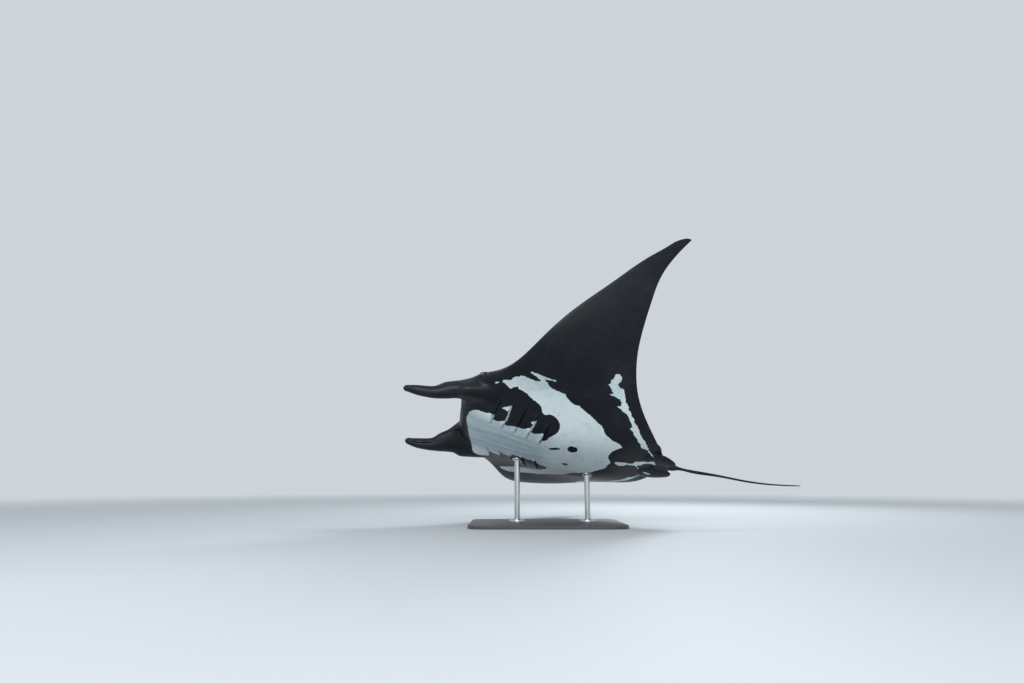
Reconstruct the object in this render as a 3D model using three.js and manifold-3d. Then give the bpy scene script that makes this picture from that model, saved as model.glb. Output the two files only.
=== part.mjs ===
import * as THREE from 'three';
import { mergeVertices } from 'three/addons/utils/BufferGeometryUtils.js';
import Module from 'manifold-3d';

// Oceanic manta ray, life size, gliding with its wings raised, on a plain display stand.
// Millimetres. The ray is shaped in its own swimming frame and then tilted on the stand:
// +X runs aft from the mouth, +Y to the ray's right and +Z out of its back.

const wasm = await Module();
wasm.setup();

// ---- Driving dimensions ----

const JOINT_GAP = 0.3;          // thin cut between touching pieces
const WING_ARC = 2262;          // midline to wing tip, along the curve of the wing
const RIM = 3;                  // half thickness of the rounded wing edge
const RIM_SHARPNESS = 40;       // how close to the edge that rounding starts
const RIM_OF_CHORD = 0.1;       // the rim's share of a section where the wing runs out at its tip
const THICKEST = 0.37;          // where along the body a section is thickest
const NOSE_POWER = 2.4;         // 2 is an elliptic nose, more is blunter
const RUN_OUT_POWER = 1.15;     // how the thickness fades towards the rear edge

// Half outline of the disc laid flat: [distance out from the midline, x].
const FRONT_EDGE = [
  [0, 0], [250, 3], [400, 18], [490, 52], [550, 112], [610, 188], [690, 280], [840, 403], [1030, 526],
  [1396, 778], [1740, 1060], [2018, 1291], [2162, 1430], [2224, 1502], [WING_ARC, 1575],
];
const REAR_EDGE = [
  [0, 1985], [90, 1950], [200, 1890], [400, 1760], [577, 1627], [781, 1505], [960, 1444], [1193, 1403],
  [1425, 1392], [1660, 1400], [1889, 1428], [2069, 1496], [2185, 1557], [WING_ARC, 1603],
];
// Greatest height above and depth below the middle surface: [distance out, height].
const BACK_HEIGHT = [
  [0, 228], [200, 220], [400, 180], [550, 130], [800, 92], [1100, 62], [1500, 40], [1900, 22], [WING_ARC, 7],
];
const BELLY_DEPTH = [
  [0, 240], [200, 236], [320, 212], [450, 166], [600, 112], [800, 66], [1100, 42], [1500, 27], [1900, 15],
  [WING_ARC, 6],
];
// How steeply the wing rises: [distance out, degrees].
const WING_RISE = [
  [0, 0], [300, 4], [600, 6.5], [850, 11], [1100, 27.5], [1500, 50], [1900, 56], [2300, 58],
];
// How far a section tips tail-up about the line x = TWIST_LINE: [distance out, slope].
const NOSE_DROOP = 60;          // how far the front of the head bends down
const DROOP_REACH = 480;
const TWIST_LINE = 950;
const WING_TWIST = [[0, 0], [350, -0.04], [700, 0.06], [1050, 0.23], [1500, 0.17], [2300, 0.09]];

// Rolled cephalic fin (the "horn") of the right side: [x, y, z, long half axis, short half axis,
// degrees that the long axis leans outward and down].
const HORN = [
  [460, 380, -30, 60, 40, 4], [340, 400, -42, 140, 84, 8], [210, 412, -54, 178, 102, 18],
  [110, 412, -60, 188, 108, 26], [30, 414, -72, 180, 108, 36], [-55, 420, -97, 138, 92, 44],
  [-100, 423, -126, 117, 83, 45], [-135, 424, -151, 101, 75, 45], [-170, 425, -176, 86, 66, 45],
  [-215, 427, -202, 69, 58, 45], [-300, 431, -227, 55, 51, 45], [-400, 434, -242, 43, 41, 45],
  [-465, 431, -247, 29, 27, 45], [-494, 429, -248, 17, 16, 45], [-505, 429, -248, 6, 6, 45],
];
const HORN_GROOVE = 0.32;       // depth of the rolled seam, part of the half thickness
const HORN_SEAM_AT = 0.62;      // place of the seam round the fin, part of a full turn
const HORN_SEAM_FROM = [5, 8];  // stations over which the seam deepens
const SIDES = { horn: 14, pelvicFin: 12, backFin: 10, tail: 10 };

// Pelvic fin of the right side, and the low fin on the back before the tail.
const PELVIC_FIN = [
  [1690, 104, -48, 40, 18], [1780, 114, -50, 78, 22], [1860, 118, -45, 87, 22], [1930, 110, -39, 77, 20],
  [1990, 96, -38, 58, 15], [2026, 86, -38, 38, 10], [2044, 80, -38, 15, 6],
];
const BACK_FIN = [
  [1680, 0, 80, 8, 28], [1725, 0, 86, 13, 54], [1775, 0, 98, 15, 80], [1820, 0, 116, 14, 104],
  [1855, 0, 138, 11, 98], [1878, 0, 166, 8, 70], [1892, 0, 194, 5, 42], [1899, 0, 212, 3, 16],
];
// Tail: [x, y, z, half width, half height].
const TAIL = [
  [1850, 0, 4, 62, 56], [1920, 0, 2, 54, 46], [1990, 0, 0, 44, 36], [2050, 0, 0, 28, 24],
  [2085, 0, 2, 19, 18], [2200, 0, 10, 15, 14], [2450, 0, 42, 12, 11], [2700, 0, 66, 9.5, 9],
  [2950, 0, 108, 7, 7], [3150, 0, 160, 5.5, 5.5], [3245, 0, 188, 4, 4],
];

const EYE_RADIUS = 29;
const EYE_X = 152;
const EYE_OUT = 572;            // distance of the eyeball's centre out from the midline
const EYE_HEIGHT = 26;
const ORBIT_SWELL = 16;         // how far the head swells round the eye
const ORBIT_SPREAD = 85;
const ORBIT_FORWARD = 0.4;      // forward part of that swelling

const MOUTH = { x: -14, z: -66, depth: 92, halfWidth: 305, halfHeight: 13 };
// Web of skin between the mouth and each head fin.
const WEB_FORWARD = 120;        // how far it brings the front of the head forward
const WEB_SPAN = [60, 400];     // distances out over which it comes forward
const WEB_END = 480;            // distance out, inside the head fin, at which it is gone
const WEB_ROOT = [-20, 160];    // x over which it fades into the head
const WEB_FOOT = [-60, 40];     // heights over which it grows, from the lip up
const LIP_HEIGHT = -30;         // height of the mouth's corners above the middle surface
const GILLS = [
  { x: 318, inner: 200, outer: 470 },
  { x: 436, inner: 186, outer: 462 },
  { x: 554, inner: 180, outer: 438 },
  { x: 673, inner: 165, outer: 398 },
  { x: 797, inner: 135, outer: 340 },
];
const GILL_WIDTH = 9;
const GILL_DEPTH = 16;
const GILL_RAKE = 0.21;         // how far a slit trails aft for each unit it runs outwards

// Cuts between the body's parts.
const HORN_CUT = -18;
const NECK_CUT = 250;
const REAR_CUT = 1850;
const TAIL_CUTS = [2060, 2430, 2840, 3400];
const WING_CUTS = [515, 1080, 1640];
const PEDUNCLE_HALF = 30;
const BACK_FIN_CUT = 1700;
const BACK_FIN_END = 1990;
const BACK_FIN_HALF = 30;
const BACK_FIN_FOOT = [1800, 0, 82];
const BACK_FIN_SLOPE = [0.22, 0, 1];

// Attitude and height on the stand.
const YAW = -2.3;
const NOSE_UP = 15.7;
const BANK = -30.7;
const MOUTH_POINT = [-784, 12, 1080];

const BASE = { length: 1400, width: 1000, thickness: 30, corner: 120, bevel: 4 };
const ROD_RADIUS = 26;
const ROD_PLACES = { front: [-264, 105], rear: [400, 105] };
const SADDLE = { radius: 47, thickness: 26, sunk: 10 };
const FLANGE = { radius: 75, height: 16 };

// ---- Smooth functions through a few stations ----

// Cubic through [position, value] pairs, level at the first one and free at the last.
function smoothThrough(stations) {
  const n = stations.length;
  const at = stations.map((s) => s[0]);
  const value = stations.map((s) => s[1]);
  const span = (i) => at[i + 1] - at[i];
  const slope = (i) => (value[i + 1] - value[i]) / span(i);
  const above = new Array(n).fill(0);
  const rhs = new Array(n).fill(0);
  above[0] = 0.5;
  rhs[0] = (3 * slope(0)) / span(0);
  for (let i = 1; i < n - 1; i++) {
    const pivot = 2 * (span(i - 1) + span(i)) - span(i - 1) * above[i - 1];
    above[i] = span(i) / pivot;
    rhs[i] = (6 * (slope(i) - slope(i - 1)) - span(i - 1) * rhs[i - 1]) / pivot;
  }
  const bend = new Array(n).fill(0);
  for (let i = n - 2; i >= 0; i--) bend[i] = rhs[i] - above[i] * bend[i + 1];
  return (t) => {
    let i = 0;
    while (i < n - 2 && t > at[i + 1]) i++;
    const a = (at[i + 1] - t) / span(i);
    const b = 1 - a;
    const sag = (a ** 3 - a) * bend[i] + (b ** 3 - b) * bend[i + 1];
    return a * value[i] + b * value[i + 1] + (sag * span(i) ** 2) / 6;
  };
}

const frontEdge = smoothThrough(FRONT_EDGE);
const rearEdge = smoothThrough(REAR_EDGE);
const backHeight = smoothThrough(BACK_HEIGHT);
const bellyDepth = smoothThrough(BELLY_DEPTH);
const wingRise = smoothThrough(WING_RISE);
const wingTwist = smoothThrough(WING_TWIST);

// Share of the greatest thickness at a share of the way from the front to the rear edge.
function fullness(along) {
  if (along < THICKEST) return (1 - (1 - along / THICKEST) ** NOSE_POWER) ** (1 / NOSE_POWER);
  const t = (along - THICKEST) / (1 - THICKEST);
  return Math.max(0, 1 - t * t) ** RUN_OUT_POWER;
}

// Rounds the edge: 1 over the wing, falling to 0 at the front and rear edges.
function rimRound(along) {
  const toEdge = (share) => Math.sqrt(Math.max(0, 1 - share ** RIM_SHARPNESS));
  return toEdge(along) * toEdge(1 - along);
}

// ---- Pose: the flat wing bent upwards along its span ----

const ARC_STEP = 5;
const PAST_TIP = 100;
const arcPoints = [[0, 0]];
for (let s = 0; s < WING_ARC + PAST_TIP; s += ARC_STEP) {
  const rise = THREE.MathUtils.degToRad(wingRise(s + ARC_STEP / 2));
  const [y, z] = arcPoints[arcPoints.length - 1];
  arcPoints.push([y + ARC_STEP * Math.cos(rise), z + ARC_STEP * Math.sin(rise)]);
}

// Point of the posed body: x aft, s out along the wing (signed), and height over its middle surface.
function posed(x, s, thickness) {
  const out = Math.abs(s);
  const droop = NOSE_DROOP * (1 - THREE.MathUtils.smoothstep(x, 0, DROOP_REACH));
  const h = thickness + (x - TWIST_LINE) * wingTwist(out) - droop;
  const step = Math.min(Math.floor(out / ARC_STEP), arcPoints.length - 2);
  const f = out / ARC_STEP - step;
  const rise = THREE.MathUtils.degToRad(wingRise(out));
  const y = THREE.MathUtils.lerp(arcPoints[step][0], arcPoints[step + 1][0], f) - h * Math.sin(rise);
  const z = THREE.MathUtils.lerp(arcPoints[step][1], arcPoints[step + 1][1], f) + h * Math.cos(rise);
  return new THREE.Vector3(x, Math.sign(s) * y, z);
}

// ---- Lofting ----

// Closed skin over rings of points, with a fan at each end.
function loft(rings) {
  const count = rings[0].length;
  const positions = rings.flat().flatMap((p) => [p.x, p.y, p.z]);
  const faces = [];
  for (let r = 0; r < rings.length - 1; r++) {
    for (let i = 0; i < count; i++) {
      const a = r * count + i;
      const b = r * count + ((i + 1) % count);
      faces.push(a, b, b + count, a, b + count, a + count);
    }
  }
  for (const [ring, start] of [[rings[0], 0], [rings[rings.length - 1], (rings.length - 1) * count]]) {
    const centre = ring.reduce((sum, p) => sum.add(p), new THREE.Vector3()).divideScalar(count);
    const hub = positions.length / 3;
    positions.push(centre.x, centre.y, centre.z);
    for (let i = 0; i < count; i++) {
      const edge = [start + i, start + ((i + 1) % count)];
      if (start === 0) edge.reverse();
      faces.push(hub, ...edge);
    }
  }
  return outward(positions, faces);
}

// Indexed geometry with its faces turned outwards.
function outward(positions, faces) {
  let volume = 0;
  const corner = (i) => new THREE.Vector3().fromArray(positions, 3 * i);
  for (let f = 0; f < faces.length; f += 3) {
    volume += corner(faces[f]).dot(corner(faces[f + 1]).cross(corner(faces[f + 2])));
  }
  if (volume < 0) faces.reverse();
  const geometry = new THREE.BufferGeometry();
  geometry.setAttribute('position', new THREE.Float32BufferAttribute(positions, 3));
  geometry.setIndex(faces);
  return geometry;
}

// How far the web between mouth and head fin moves a point forward.
function webForward(x, out, height) {
  const step = THREE.MathUtils.smoothstep;
  const across = step(out, ...WEB_SPAN) * (1 - step(out, WEB_SPAN[1], WEB_END));
  return WEB_FORWARD * across * (1 - step(x, ...WEB_ROOT)) * step(height, ...WEB_FOOT);
}

// Height of the belly's skin under the middle surface, which is negative.
function bellySkin(x, out) {
  const front = frontEdge(out);
  const along = (x - front) / (rearEdge(out) - front);
  return -bellyDepth(out) * fullness(along) - RIM * rimRound(along);
}

// Fore-and-aft section of the disc at a distance out from the midline.
const SECTION_STEPS = 12;
function discSection(s) {
  const out = Math.abs(s);
  const front = frontEdge(out);
  const chord = rearEdge(out) - front;
  const edge = Math.min(RIM, chord * RIM_OF_CHORD);
  const orbit = (x, h) => {
    const away = ((x - EYE_X) ** 2 + (out - EYE_OUT) ** 2 + (h - EYE_HEIGHT) ** 2) / ORBIT_SPREAD ** 2;
    return ORBIT_SWELL * Math.exp(-away);
  };
  const ring = [];
  for (let i = 0; i < 2 * SECTION_STEPS; i++) {
    const top = i <= SECTION_STEPS;
    const along = (1 - Math.cos((Math.PI * i) / SECTION_STEPS)) / 2;
    const full = fullness(along);
    const height = top ? backHeight(out) : -bellyDepth(out);
    const h = height * full + (top ? edge : -edge) * rimRound(along);
    const x = front + chord * along;
    const ahead = orbit(x, h) * ORBIT_FORWARD + webForward(x, out, h);
    ring.push(posed(x - ahead, Math.sign(s) * (out + orbit(x, h)), h));
  }
  return ring;
}

const HALF_SPAN = [
  0, 95, 190, 275, 350, 420, 480, 530, 570, 615, 675, 755, 860, 980, 1120, 1290, 1480, 1690, 1880, 2030, 2130,
  2190, 2228, 2250, WING_ARC,
];

// Elliptic rings along a line of [x, y, z, half width, half height, lean], with an optional rolled seam.
function taperedLoft(stations, sides, side = 1, groove = 0) {
  const centres = stations.map(([x, y, z]) => new THREE.Vector3(x, side * y, z));
  const rings = stations.map(([, , , width, height, lean = 0], k) => {
    const before = centres[Math.max(0, k - 1)];
    const after = centres[Math.min(stations.length - 1, k + 1)];
    const along = after.clone().sub(before).normalize();
    const across = new THREE.Vector3(0, 1, 0).addScaledVector(along, -along.y).normalize();
    const up = new THREE.Vector3().crossVectors(along, across);
    if (up.z < 0) up.negate();
    const outward = across.clone().multiplyScalar(side);
    const tip = THREE.MathUtils.degToRad(lean);
    const long = outward.clone().multiplyScalar(Math.cos(tip)).addScaledVector(up, -Math.sin(tip));
    const short = up.clone().multiplyScalar(Math.cos(tip)).addScaledVector(outward, Math.sin(tip));
    const fade = THREE.MathUtils.smoothstep(k, ...HORN_SEAM_FROM);
    return Array.from({ length: sides }, (_, i) => {
      const turn = (2 * Math.PI * i) / sides;
      const seam = i === Math.round(sides * HORN_SEAM_AT) ? 1 - groove * fade : 1;
      return centres[k].clone()
        .addScaledVector(long, width * Math.cos(turn) * seam)
        .addScaledVector(short, height * Math.sin(turn) * seam);
    });
  });
  return loft(rings);
}

// ---- Solids ----

// The same shape with nothing but positions and its shared corners merged.
function bareMerged(geometry) {
  const bare = geometry.clone();
  bare.deleteAttribute('normal');
  bare.deleteAttribute('uv');
  return mergeVertices(bare, 1e-3);
}

function solid(geometry) {
  const merged = bareMerged(geometry);
  return new wasm.Manifold(new wasm.Mesh({
    numProp: 3,
    vertProperties: new Float32Array(merged.attributes.position.array),
    triVerts: new Uint32Array(merged.index.array),
  }));
}

function geometryOf(manifold) {
  const mesh = manifold.getMesh();
  const geometry = new THREE.BufferGeometry();
  geometry.setAttribute('position', new THREE.BufferAttribute(new Float32Array(mesh.vertProperties), 3));
  geometry.setIndex(new THREE.BufferAttribute(new Uint32Array(mesh.triVerts), 1));
  return geometry;
}

// Everything beyond a plane: a huge box whose near face lies on it.
const FAR = 9000;
function beyond(point, normal) {
  const direction = new THREE.Vector3(...normal).normalize();
  const turn = new THREE.Quaternion().setFromUnitVectors(new THREE.Vector3(0, 0, 1), direction);
  const box = new THREE.BoxGeometry(FAR, FAR, FAR);
  box.translate(0, 0, FAR / 2);
  box.applyQuaternion(turn);
  box.translate(...point);
  return solid(box);
}

const aftOf = (x) => beyond([x, 0, 0], [1, 0, 0]);
const forwardOf = (x) => beyond([x, 0, 0], [-1, 0, 0]);

// The part of the wing further out than a distance along its span, on one side.
function outboardOf(s, side) {
  const rise = THREE.MathUtils.degToRad(wingRise(s));
  const root = posed(0, side * s, 0);
  return beyond(root.toArray(), [0, side * Math.cos(rise), Math.sin(rise)]);
}

// ---- The ray, whole ----

const span = [...HALF_SPAN.slice(1).reverse().map((s) => -s), ...HALF_SPAN];
const disc = solid(loft(span.map(discSection)));

// Slot for one gill slit, laid on the curve of the belly and raked aft towards its outer end.
function gillCut({ x, inner, outer }, side) {
  const reach = outer - inner;
  const slot = bareMerged(new THREE.BoxGeometry(GILL_WIDTH, reach, 2 * GILL_DEPTH, 1, 3, 1));
  const place = slot.attributes.position;
  for (let i = 0; i < place.count; i++) {
    const share = place.getY(i) / reach + 0.5;
    const out = inner + reach * share;
    const at = x + GILL_RAKE * reach * share + place.getX(i);
    const point = posed(at, side * out, bellySkin(at, out) + place.getZ(i));
    place.setXYZ(i, point.x, point.y, point.z);
  }
  return solid(outward([...place.array], [...slot.index.array]));
}

let ray = disc;
for (const side of [-1, 1]) {
  ray = ray.add(solid(taperedLoft(HORN, SIDES.horn, side, HORN_GROOVE)));
  ray = ray.add(solid(taperedLoft(PELVIC_FIN, SIDES.pelvicFin, side)));
}
ray = ray.add(solid(taperedLoft(BACK_FIN, SIDES.backFin)));
ray = ray.add(solid(taperedLoft(TAIL, SIDES.tail)));

const mouth = new THREE.SphereGeometry(1, 20, 8);
mouth.scale(MOUTH.depth, MOUTH.halfWidth, MOUTH.halfHeight);
mouth.translate(MOUTH.x, 0, MOUTH.z);
const gape = mouth.attributes.position;
for (let i = 0; i < gape.count; i++) {
  gape.setX(i, gape.getX(i) - webForward(0, Math.abs(gape.getY(i)), LIP_HEIGHT));
}
ray = ray.subtract(solid(mouth));
for (const side of [-1, 1]) for (const gill of GILLS) ray = ray.subtract(gillCut(gill, side));

function eyeball(side, radius) {
  const centre = posed(EYE_X, side * EYE_OUT, EYE_HEIGHT);
  const ball = new THREE.SphereGeometry(radius, 16, 10);
  ball.translate(centre.x, centre.y, centre.z);
  return solid(ball);
}
for (const side of [-1, 1]) ray = ray.subtract(eyeball(side, EYE_RADIUS + JOINT_GAP));

// ---- Parting the ray with thin cuts ----

const half = JOINT_GAP / 2;
const sideName = (side) => (side < 0 ? 'left' : 'right');

function between(piece, from, to) {
  return piece.intersect(aftOf(from + half)).intersect(forwardOf(to - half));
}

const horns = ray.intersect(forwardOf(HORN_CUT - half));
const head = between(ray, HORN_CUT, NECK_CUT);
const middleBody = between(ray, NECK_CUT, REAR_CUT);
const rear = between(ray, REAR_CUT, TAIL_CUTS[0]);
const beside = (side, from) => beyond([0, side * from, 0], [0, side, 0]);

// A wedge round the low back fin, above its foot by nothing or a joint's gap larger all round.
function backFinSpace(grow) {
  const [x, y, z] = BACK_FIN_FOOT;
  return beyond([x, y, z - grow], BACK_FIN_SLOPE)
    .intersect(aftOf(BACK_FIN_CUT - grow))
    .subtract(beside(1, BACK_FIN_HALF + grow))
    .subtract(beside(-1, BACK_FIN_HALF + grow));
}
const backFinRoom = backFinSpace(JOINT_GAP);

const parts = {};
parts.head = [head, 'skin'];
parts.trunk = [middleBody.subtract(outboardOf(WING_CUTS[0] - JOINT_GAP, -1))
  .subtract(outboardOf(WING_CUTS[0] - JOINT_GAP, 1)).subtract(backFinRoom), 'skin'];
parts.tail_root = [rear.subtract(beside(-1, PEDUNCLE_HALF)).subtract(beside(1, PEDUNCLE_HALF))
  .subtract(backFinRoom), 'skin'];
parts.back_fin = [ray.intersect(backFinSpace(0)).intersect(forwardOf(BACK_FIN_END)), 'skin'];

for (const side of [-1, 1]) {
  const name = sideName(side);
  parts[`cephalic_fin_${name}`] = [horns.intersect(beside(side, 0)), 'skin'];
  parts[`eye_${name}`] = [eyeball(side, EYE_RADIUS), 'eye'];
  const reach = [...WING_CUTS, WING_ARC + PAST_TIP];
  ['wing_root', 'wing_middle', 'wing_tip'].forEach((piece, i) => {
    let wing = middleBody.intersect(outboardOf(reach[i], side));
    if (i < 2) wing = wing.subtract(outboardOf(reach[i + 1] - JOINT_GAP, side));
    parts[`${piece}_${name}`] = [wing, 'skin'];
  });
  parts[`pelvic_fin_${name}`] = [rear.intersect(beside(side, PEDUNCLE_HALF + JOINT_GAP)), 'skin'];
}
['tail_front', 'tail_middle', 'tail_end'].forEach((name, i) => {
  parts[name] = [between(ray, TAIL_CUTS[i], TAIL_CUTS[i + 1]), 'skin'];
});

// ---- The group ----

const finishes = {
  skin: { color: 0x16191f, roughness: 0.5, metalness: 0 },
  eye: { color: 0x0b0a09, roughness: 0.12, metalness: 0 },
  base: { color: 0x3a3d40, roughness: 0.45, metalness: 0.1 },
  steel: { color: 0xb4b7ba, roughness: 0.32, metalness: 1 },
};

function meshNamed(name, geometry, finish) {
  const mesh = new THREE.Mesh(geometry, new THREE.MeshStandardMaterial(finishes[finish]));
  mesh.name = name;
  return mesh;
}

const swimmer = new THREE.Group();
const rad = THREE.MathUtils.degToRad;
swimmer.rotation.set(rad(BANK), rad(NOSE_UP), rad(YAW), 'ZYX');
swimmer.position.set(...MOUTH_POINT);
swimmer.updateMatrixWorld(true);

const group = new THREE.Group();
for (const [name, [piece, finish]] of Object.entries(parts)) {
  swimmer.add(meshNamed(name, geometryOf(piece), finish));
}
group.add(swimmer);

// ---- Display stand ----

function basePlate() {
  const { length, width, thickness, corner, bevel } = BASE;
  const x = length / 2 - bevel;
  const y = width / 2 - bevel;
  const outline = new THREE.Shape();
  outline.absarc(x - corner, y - corner, corner, 0, Math.PI / 2);
  outline.absarc(corner - x, y - corner, corner, Math.PI / 2, Math.PI);
  outline.absarc(corner - x, corner - y, corner, Math.PI, 1.5 * Math.PI);
  outline.absarc(x - corner, corner - y, corner, 1.5 * Math.PI, 2 * Math.PI);
  const plate = new THREE.ExtrudeGeometry(outline, {
    depth: thickness - 2 * bevel, bevelThickness: bevel, bevelSize: bevel, bevelSegments: 1, curveSegments: 4,
  });
  plate.translate(0, 0, bevel);
  return plate;
}
group.add(meshNamed('stand_base', basePlate(), 'base'));

// The belly as it hangs over the base, and the same grown downwards by a joint's gap to cut with.
const belly = meshNamed('belly', geometryOf(parts.trunk[0]).applyMatrix4(swimmer.matrixWorld), 'skin');
const bellyCut = solid(belly.geometry).add(solid(belly.geometry.clone().translate(0, 0, -JOINT_GAP)));

function upright(radius, bottom, top, sides = 20) {
  const post = new THREE.CylinderGeometry(radius, radius, top - bottom, sides);
  post.rotateX(Math.PI / 2);
  return post.translate(0, 0, (top + bottom) / 2);
}

for (const [name, [x, y]] of Object.entries(ROD_PLACES)) {
  const probe = new THREE.Raycaster(new THREE.Vector3(x, y, BASE.thickness), new THREE.Vector3(0, 0, 1));
  const touch = probe.intersectObject(belly)[0];
  const lean = new THREE.Quaternion().setFromUnitVectors(new THREE.Vector3(0, 0, -1), touch.face.normal);
  const centre = touch.point.clone().addScaledVector(touch.face.normal, SADDLE.thickness / 2 - SADDLE.sunk);
  const plate = upright(SADDLE.radius, -SADDLE.thickness / 2, SADDLE.thickness / 2, 24);
  plate.applyQuaternion(lean).translate(...centre.toArray());
  const saddle = solid(plate).subtract(bellyCut);

  const foot = BASE.thickness + JOINT_GAP;
  const flange = upright(FLANGE.radius, foot, foot + FLANGE.height, 24).translate(x, y, 0);
  const rodHole = upright(ROD_RADIUS + JOINT_GAP, 0, foot + 2 * FLANGE.height).translate(x, y, 0);
  const rod = upright(ROD_RADIUS, foot, touch.point.z).translate(x, y, 0);
  const saddleCut = solid(plate.clone().translate(0, 0, -JOINT_GAP)).add(bellyCut);

  group.add(meshNamed(`stand_saddle_${name}`, geometryOf(saddle), 'steel'));
  group.add(meshNamed(`stand_flange_${name}`, geometryOf(solid(flange).subtract(solid(rodHole))), 'steel'));
  group.add(meshNamed(`stand_rod_${name}`, geometryOf(solid(rod).subtract(saddleCut)), 'steel'));
}

export default group;
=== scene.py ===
# %% [markdown]
# # A life-size manta ray on a display stand
# This lesson dresses a packed construction model of a manta ray. The model fixes every size and
# place. Here the ray gets one seamless skin with its mouth, gill slits, lids and rolled head fins,
# then its black and white markings, and the stand gets painted and brushed metal.

import math

import bmesh
import bpy
import numpy as np
from mathutils import Matrix, Vector
from mathutils.kdtree import KDTree


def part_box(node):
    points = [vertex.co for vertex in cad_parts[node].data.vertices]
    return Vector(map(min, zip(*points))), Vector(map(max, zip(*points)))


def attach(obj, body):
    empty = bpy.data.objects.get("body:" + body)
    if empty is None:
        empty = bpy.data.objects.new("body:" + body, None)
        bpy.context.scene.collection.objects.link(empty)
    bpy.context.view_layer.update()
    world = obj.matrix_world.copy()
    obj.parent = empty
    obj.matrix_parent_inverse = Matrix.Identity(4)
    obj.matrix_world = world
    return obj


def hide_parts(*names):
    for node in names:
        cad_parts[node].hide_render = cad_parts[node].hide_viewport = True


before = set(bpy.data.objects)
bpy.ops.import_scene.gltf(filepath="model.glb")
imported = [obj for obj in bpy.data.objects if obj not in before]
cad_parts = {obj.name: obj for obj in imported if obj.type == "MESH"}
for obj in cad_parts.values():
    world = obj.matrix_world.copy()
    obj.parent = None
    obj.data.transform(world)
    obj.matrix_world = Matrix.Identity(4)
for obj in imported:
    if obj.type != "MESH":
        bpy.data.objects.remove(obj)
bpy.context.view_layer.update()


# %% [markdown]
# ## The ray's own measures
# A ray's disc is a wing: one outline seen from above, a thickness that fades towards the edges, and
# a curve along which the wing rises. Each is a smooth curve through a few stations, in metres, in
# the ray's swimming frame: x runs aft from the mouth, y to its right and z out of its back.

# %% Stations of the disc, fins and tail
WING_ARC = 2.262
FRONT_EDGE = [  # (distance out from the midline, x)
    (0, 0), (0.25, 0.003), (0.4, 0.018), (0.49, 0.052), (0.55, 0.112), (0.61, 0.188), (0.69, 0.28),
    (0.84, 0.403), (1.03, 0.526), (1.396, 0.778), (1.74, 1.06), (2.018, 1.291), (2.162, 1.43),
    (2.224, 1.494), (WING_ARC, 1.562),
]
REAR_EDGE = [
    (0, 1.985), (0.09, 1.95), (0.2, 1.89), (0.4, 1.76), (0.577, 1.627), (0.781, 1.505), (0.96, 1.444),
    (1.193, 1.403), (1.425, 1.392), (1.66, 1.4), (1.889, 1.428), (2.069, 1.496), (2.185, 1.557),
    (WING_ARC, 1.603),
]
BACK_HEIGHT = [  # (distance out, greatest height above the middle surface)
    (0, 0.228), (0.2, 0.22), (0.4, 0.18), (0.55, 0.13), (0.8, 0.092), (1.1, 0.062), (1.5, 0.04),
    (1.9, 0.022), (WING_ARC, 0.007),
]
BELLY_DEPTH = [
    (0, 0.24), (0.2, 0.236), (0.32, 0.212), (0.45, 0.166), (0.6, 0.112), (0.8, 0.066), (1.1, 0.042),
    (1.5, 0.027), (1.9, 0.0146), (WING_ARC, 0.006),
]
WING_RISE = [  # (distance out, degrees that the wing climbs)
    (0, 0), (0.3, 4), (0.6, 6.5), (0.85, 11), (1.1, 27.5), (1.5, 50), (1.9, 56), (2.3, 58),
]
WING_TWIST = [(0, 0), (0.35, -0.04), (0.7, 0.06), (1.05, 0.23), (1.5, 0.17), (2.3, 0.09)]
TWIST_LINE = 0.95  # x of the line that the wing twists about
NOSE_DROOP = 0.06
DROOP_REACH = 0.48
RIM = 0.003  # half thickness that is left at the front and rear edges
THICKEST = 0.37  # share of the way aft where the disc is thickest
NOSE_POWER = 2.4
RUN_OUT_POWER = 1.15
RIM_POWER = 40

# Fins and tail: (x, y, z, long half axis, short half axis, degrees that the long axis leans).
HORN = [
    (0.46, 0.38, -0.03, 0.06, 0.04, 4), (0.34, 0.404, -0.046, 0.15, 0.084, 10),
    (0.21, 0.418, -0.064, 0.18, 0.09, 20), (0.11, 0.416, -0.068, 0.186, 0.094, 28),
    (0.03, 0.416, -0.074, 0.178, 0.1, 36), (-0.055, 0.42, -0.1, 0.136, 0.086, 44),
    (-0.1, 0.423, -0.126, 0.117, 0.083, 45), (-0.135, 0.424, -0.151, 0.101, 0.075, 45),
    (-0.17, 0.425, -0.176, 0.086, 0.066, 45), (-0.215, 0.427, -0.202, 0.069, 0.058, 45),
    (-0.3, 0.431, -0.227, 0.056, 0.052, 45), (-0.4, 0.434, -0.242, 0.045, 0.043, 45),
    (-0.465, 0.431, -0.247, 0.033, 0.031, 45), (-0.494, 0.429, -0.248, 0.023, 0.022, 45),
    (-0.505, 0.429, -0.248, 0.012, 0.012, 45),
]
PELVIC_FIN = [
    (1.69, 0.104, -0.048, 0.04, 0.018, 0), (1.78, 0.114, -0.05, 0.078, 0.022, 0),
    (1.86, 0.114, -0.044, 0.088, 0.022, 0), (1.93, 0.101, -0.037, 0.079, 0.02, 0),
    (1.99, 0.084, -0.034, 0.062, 0.015, 0), (2.026, 0.071, -0.033, 0.043, 0.01, 0),
    (2.044, 0.063, -0.032, 0.02, 0.006, 0),
]
BACK_FIN = [
    (1.68, 0, 0.08, 0.008, 0.028, 0), (1.725, 0, 0.086, 0.013, 0.054, 0),
    (1.775, 0, 0.098, 0.015, 0.08, 0), (1.82, 0, 0.116, 0.014, 0.104, 0),
    (1.849, 0, 0.138, 0.011, 0.096, 0), (1.867, 0, 0.164, 0.008, 0.069, 0),
    (1.879, 0, 0.19, 0.005, 0.042, 0), (1.886, 0, 0.207, 0.003, 0.016, 0),
]
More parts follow.
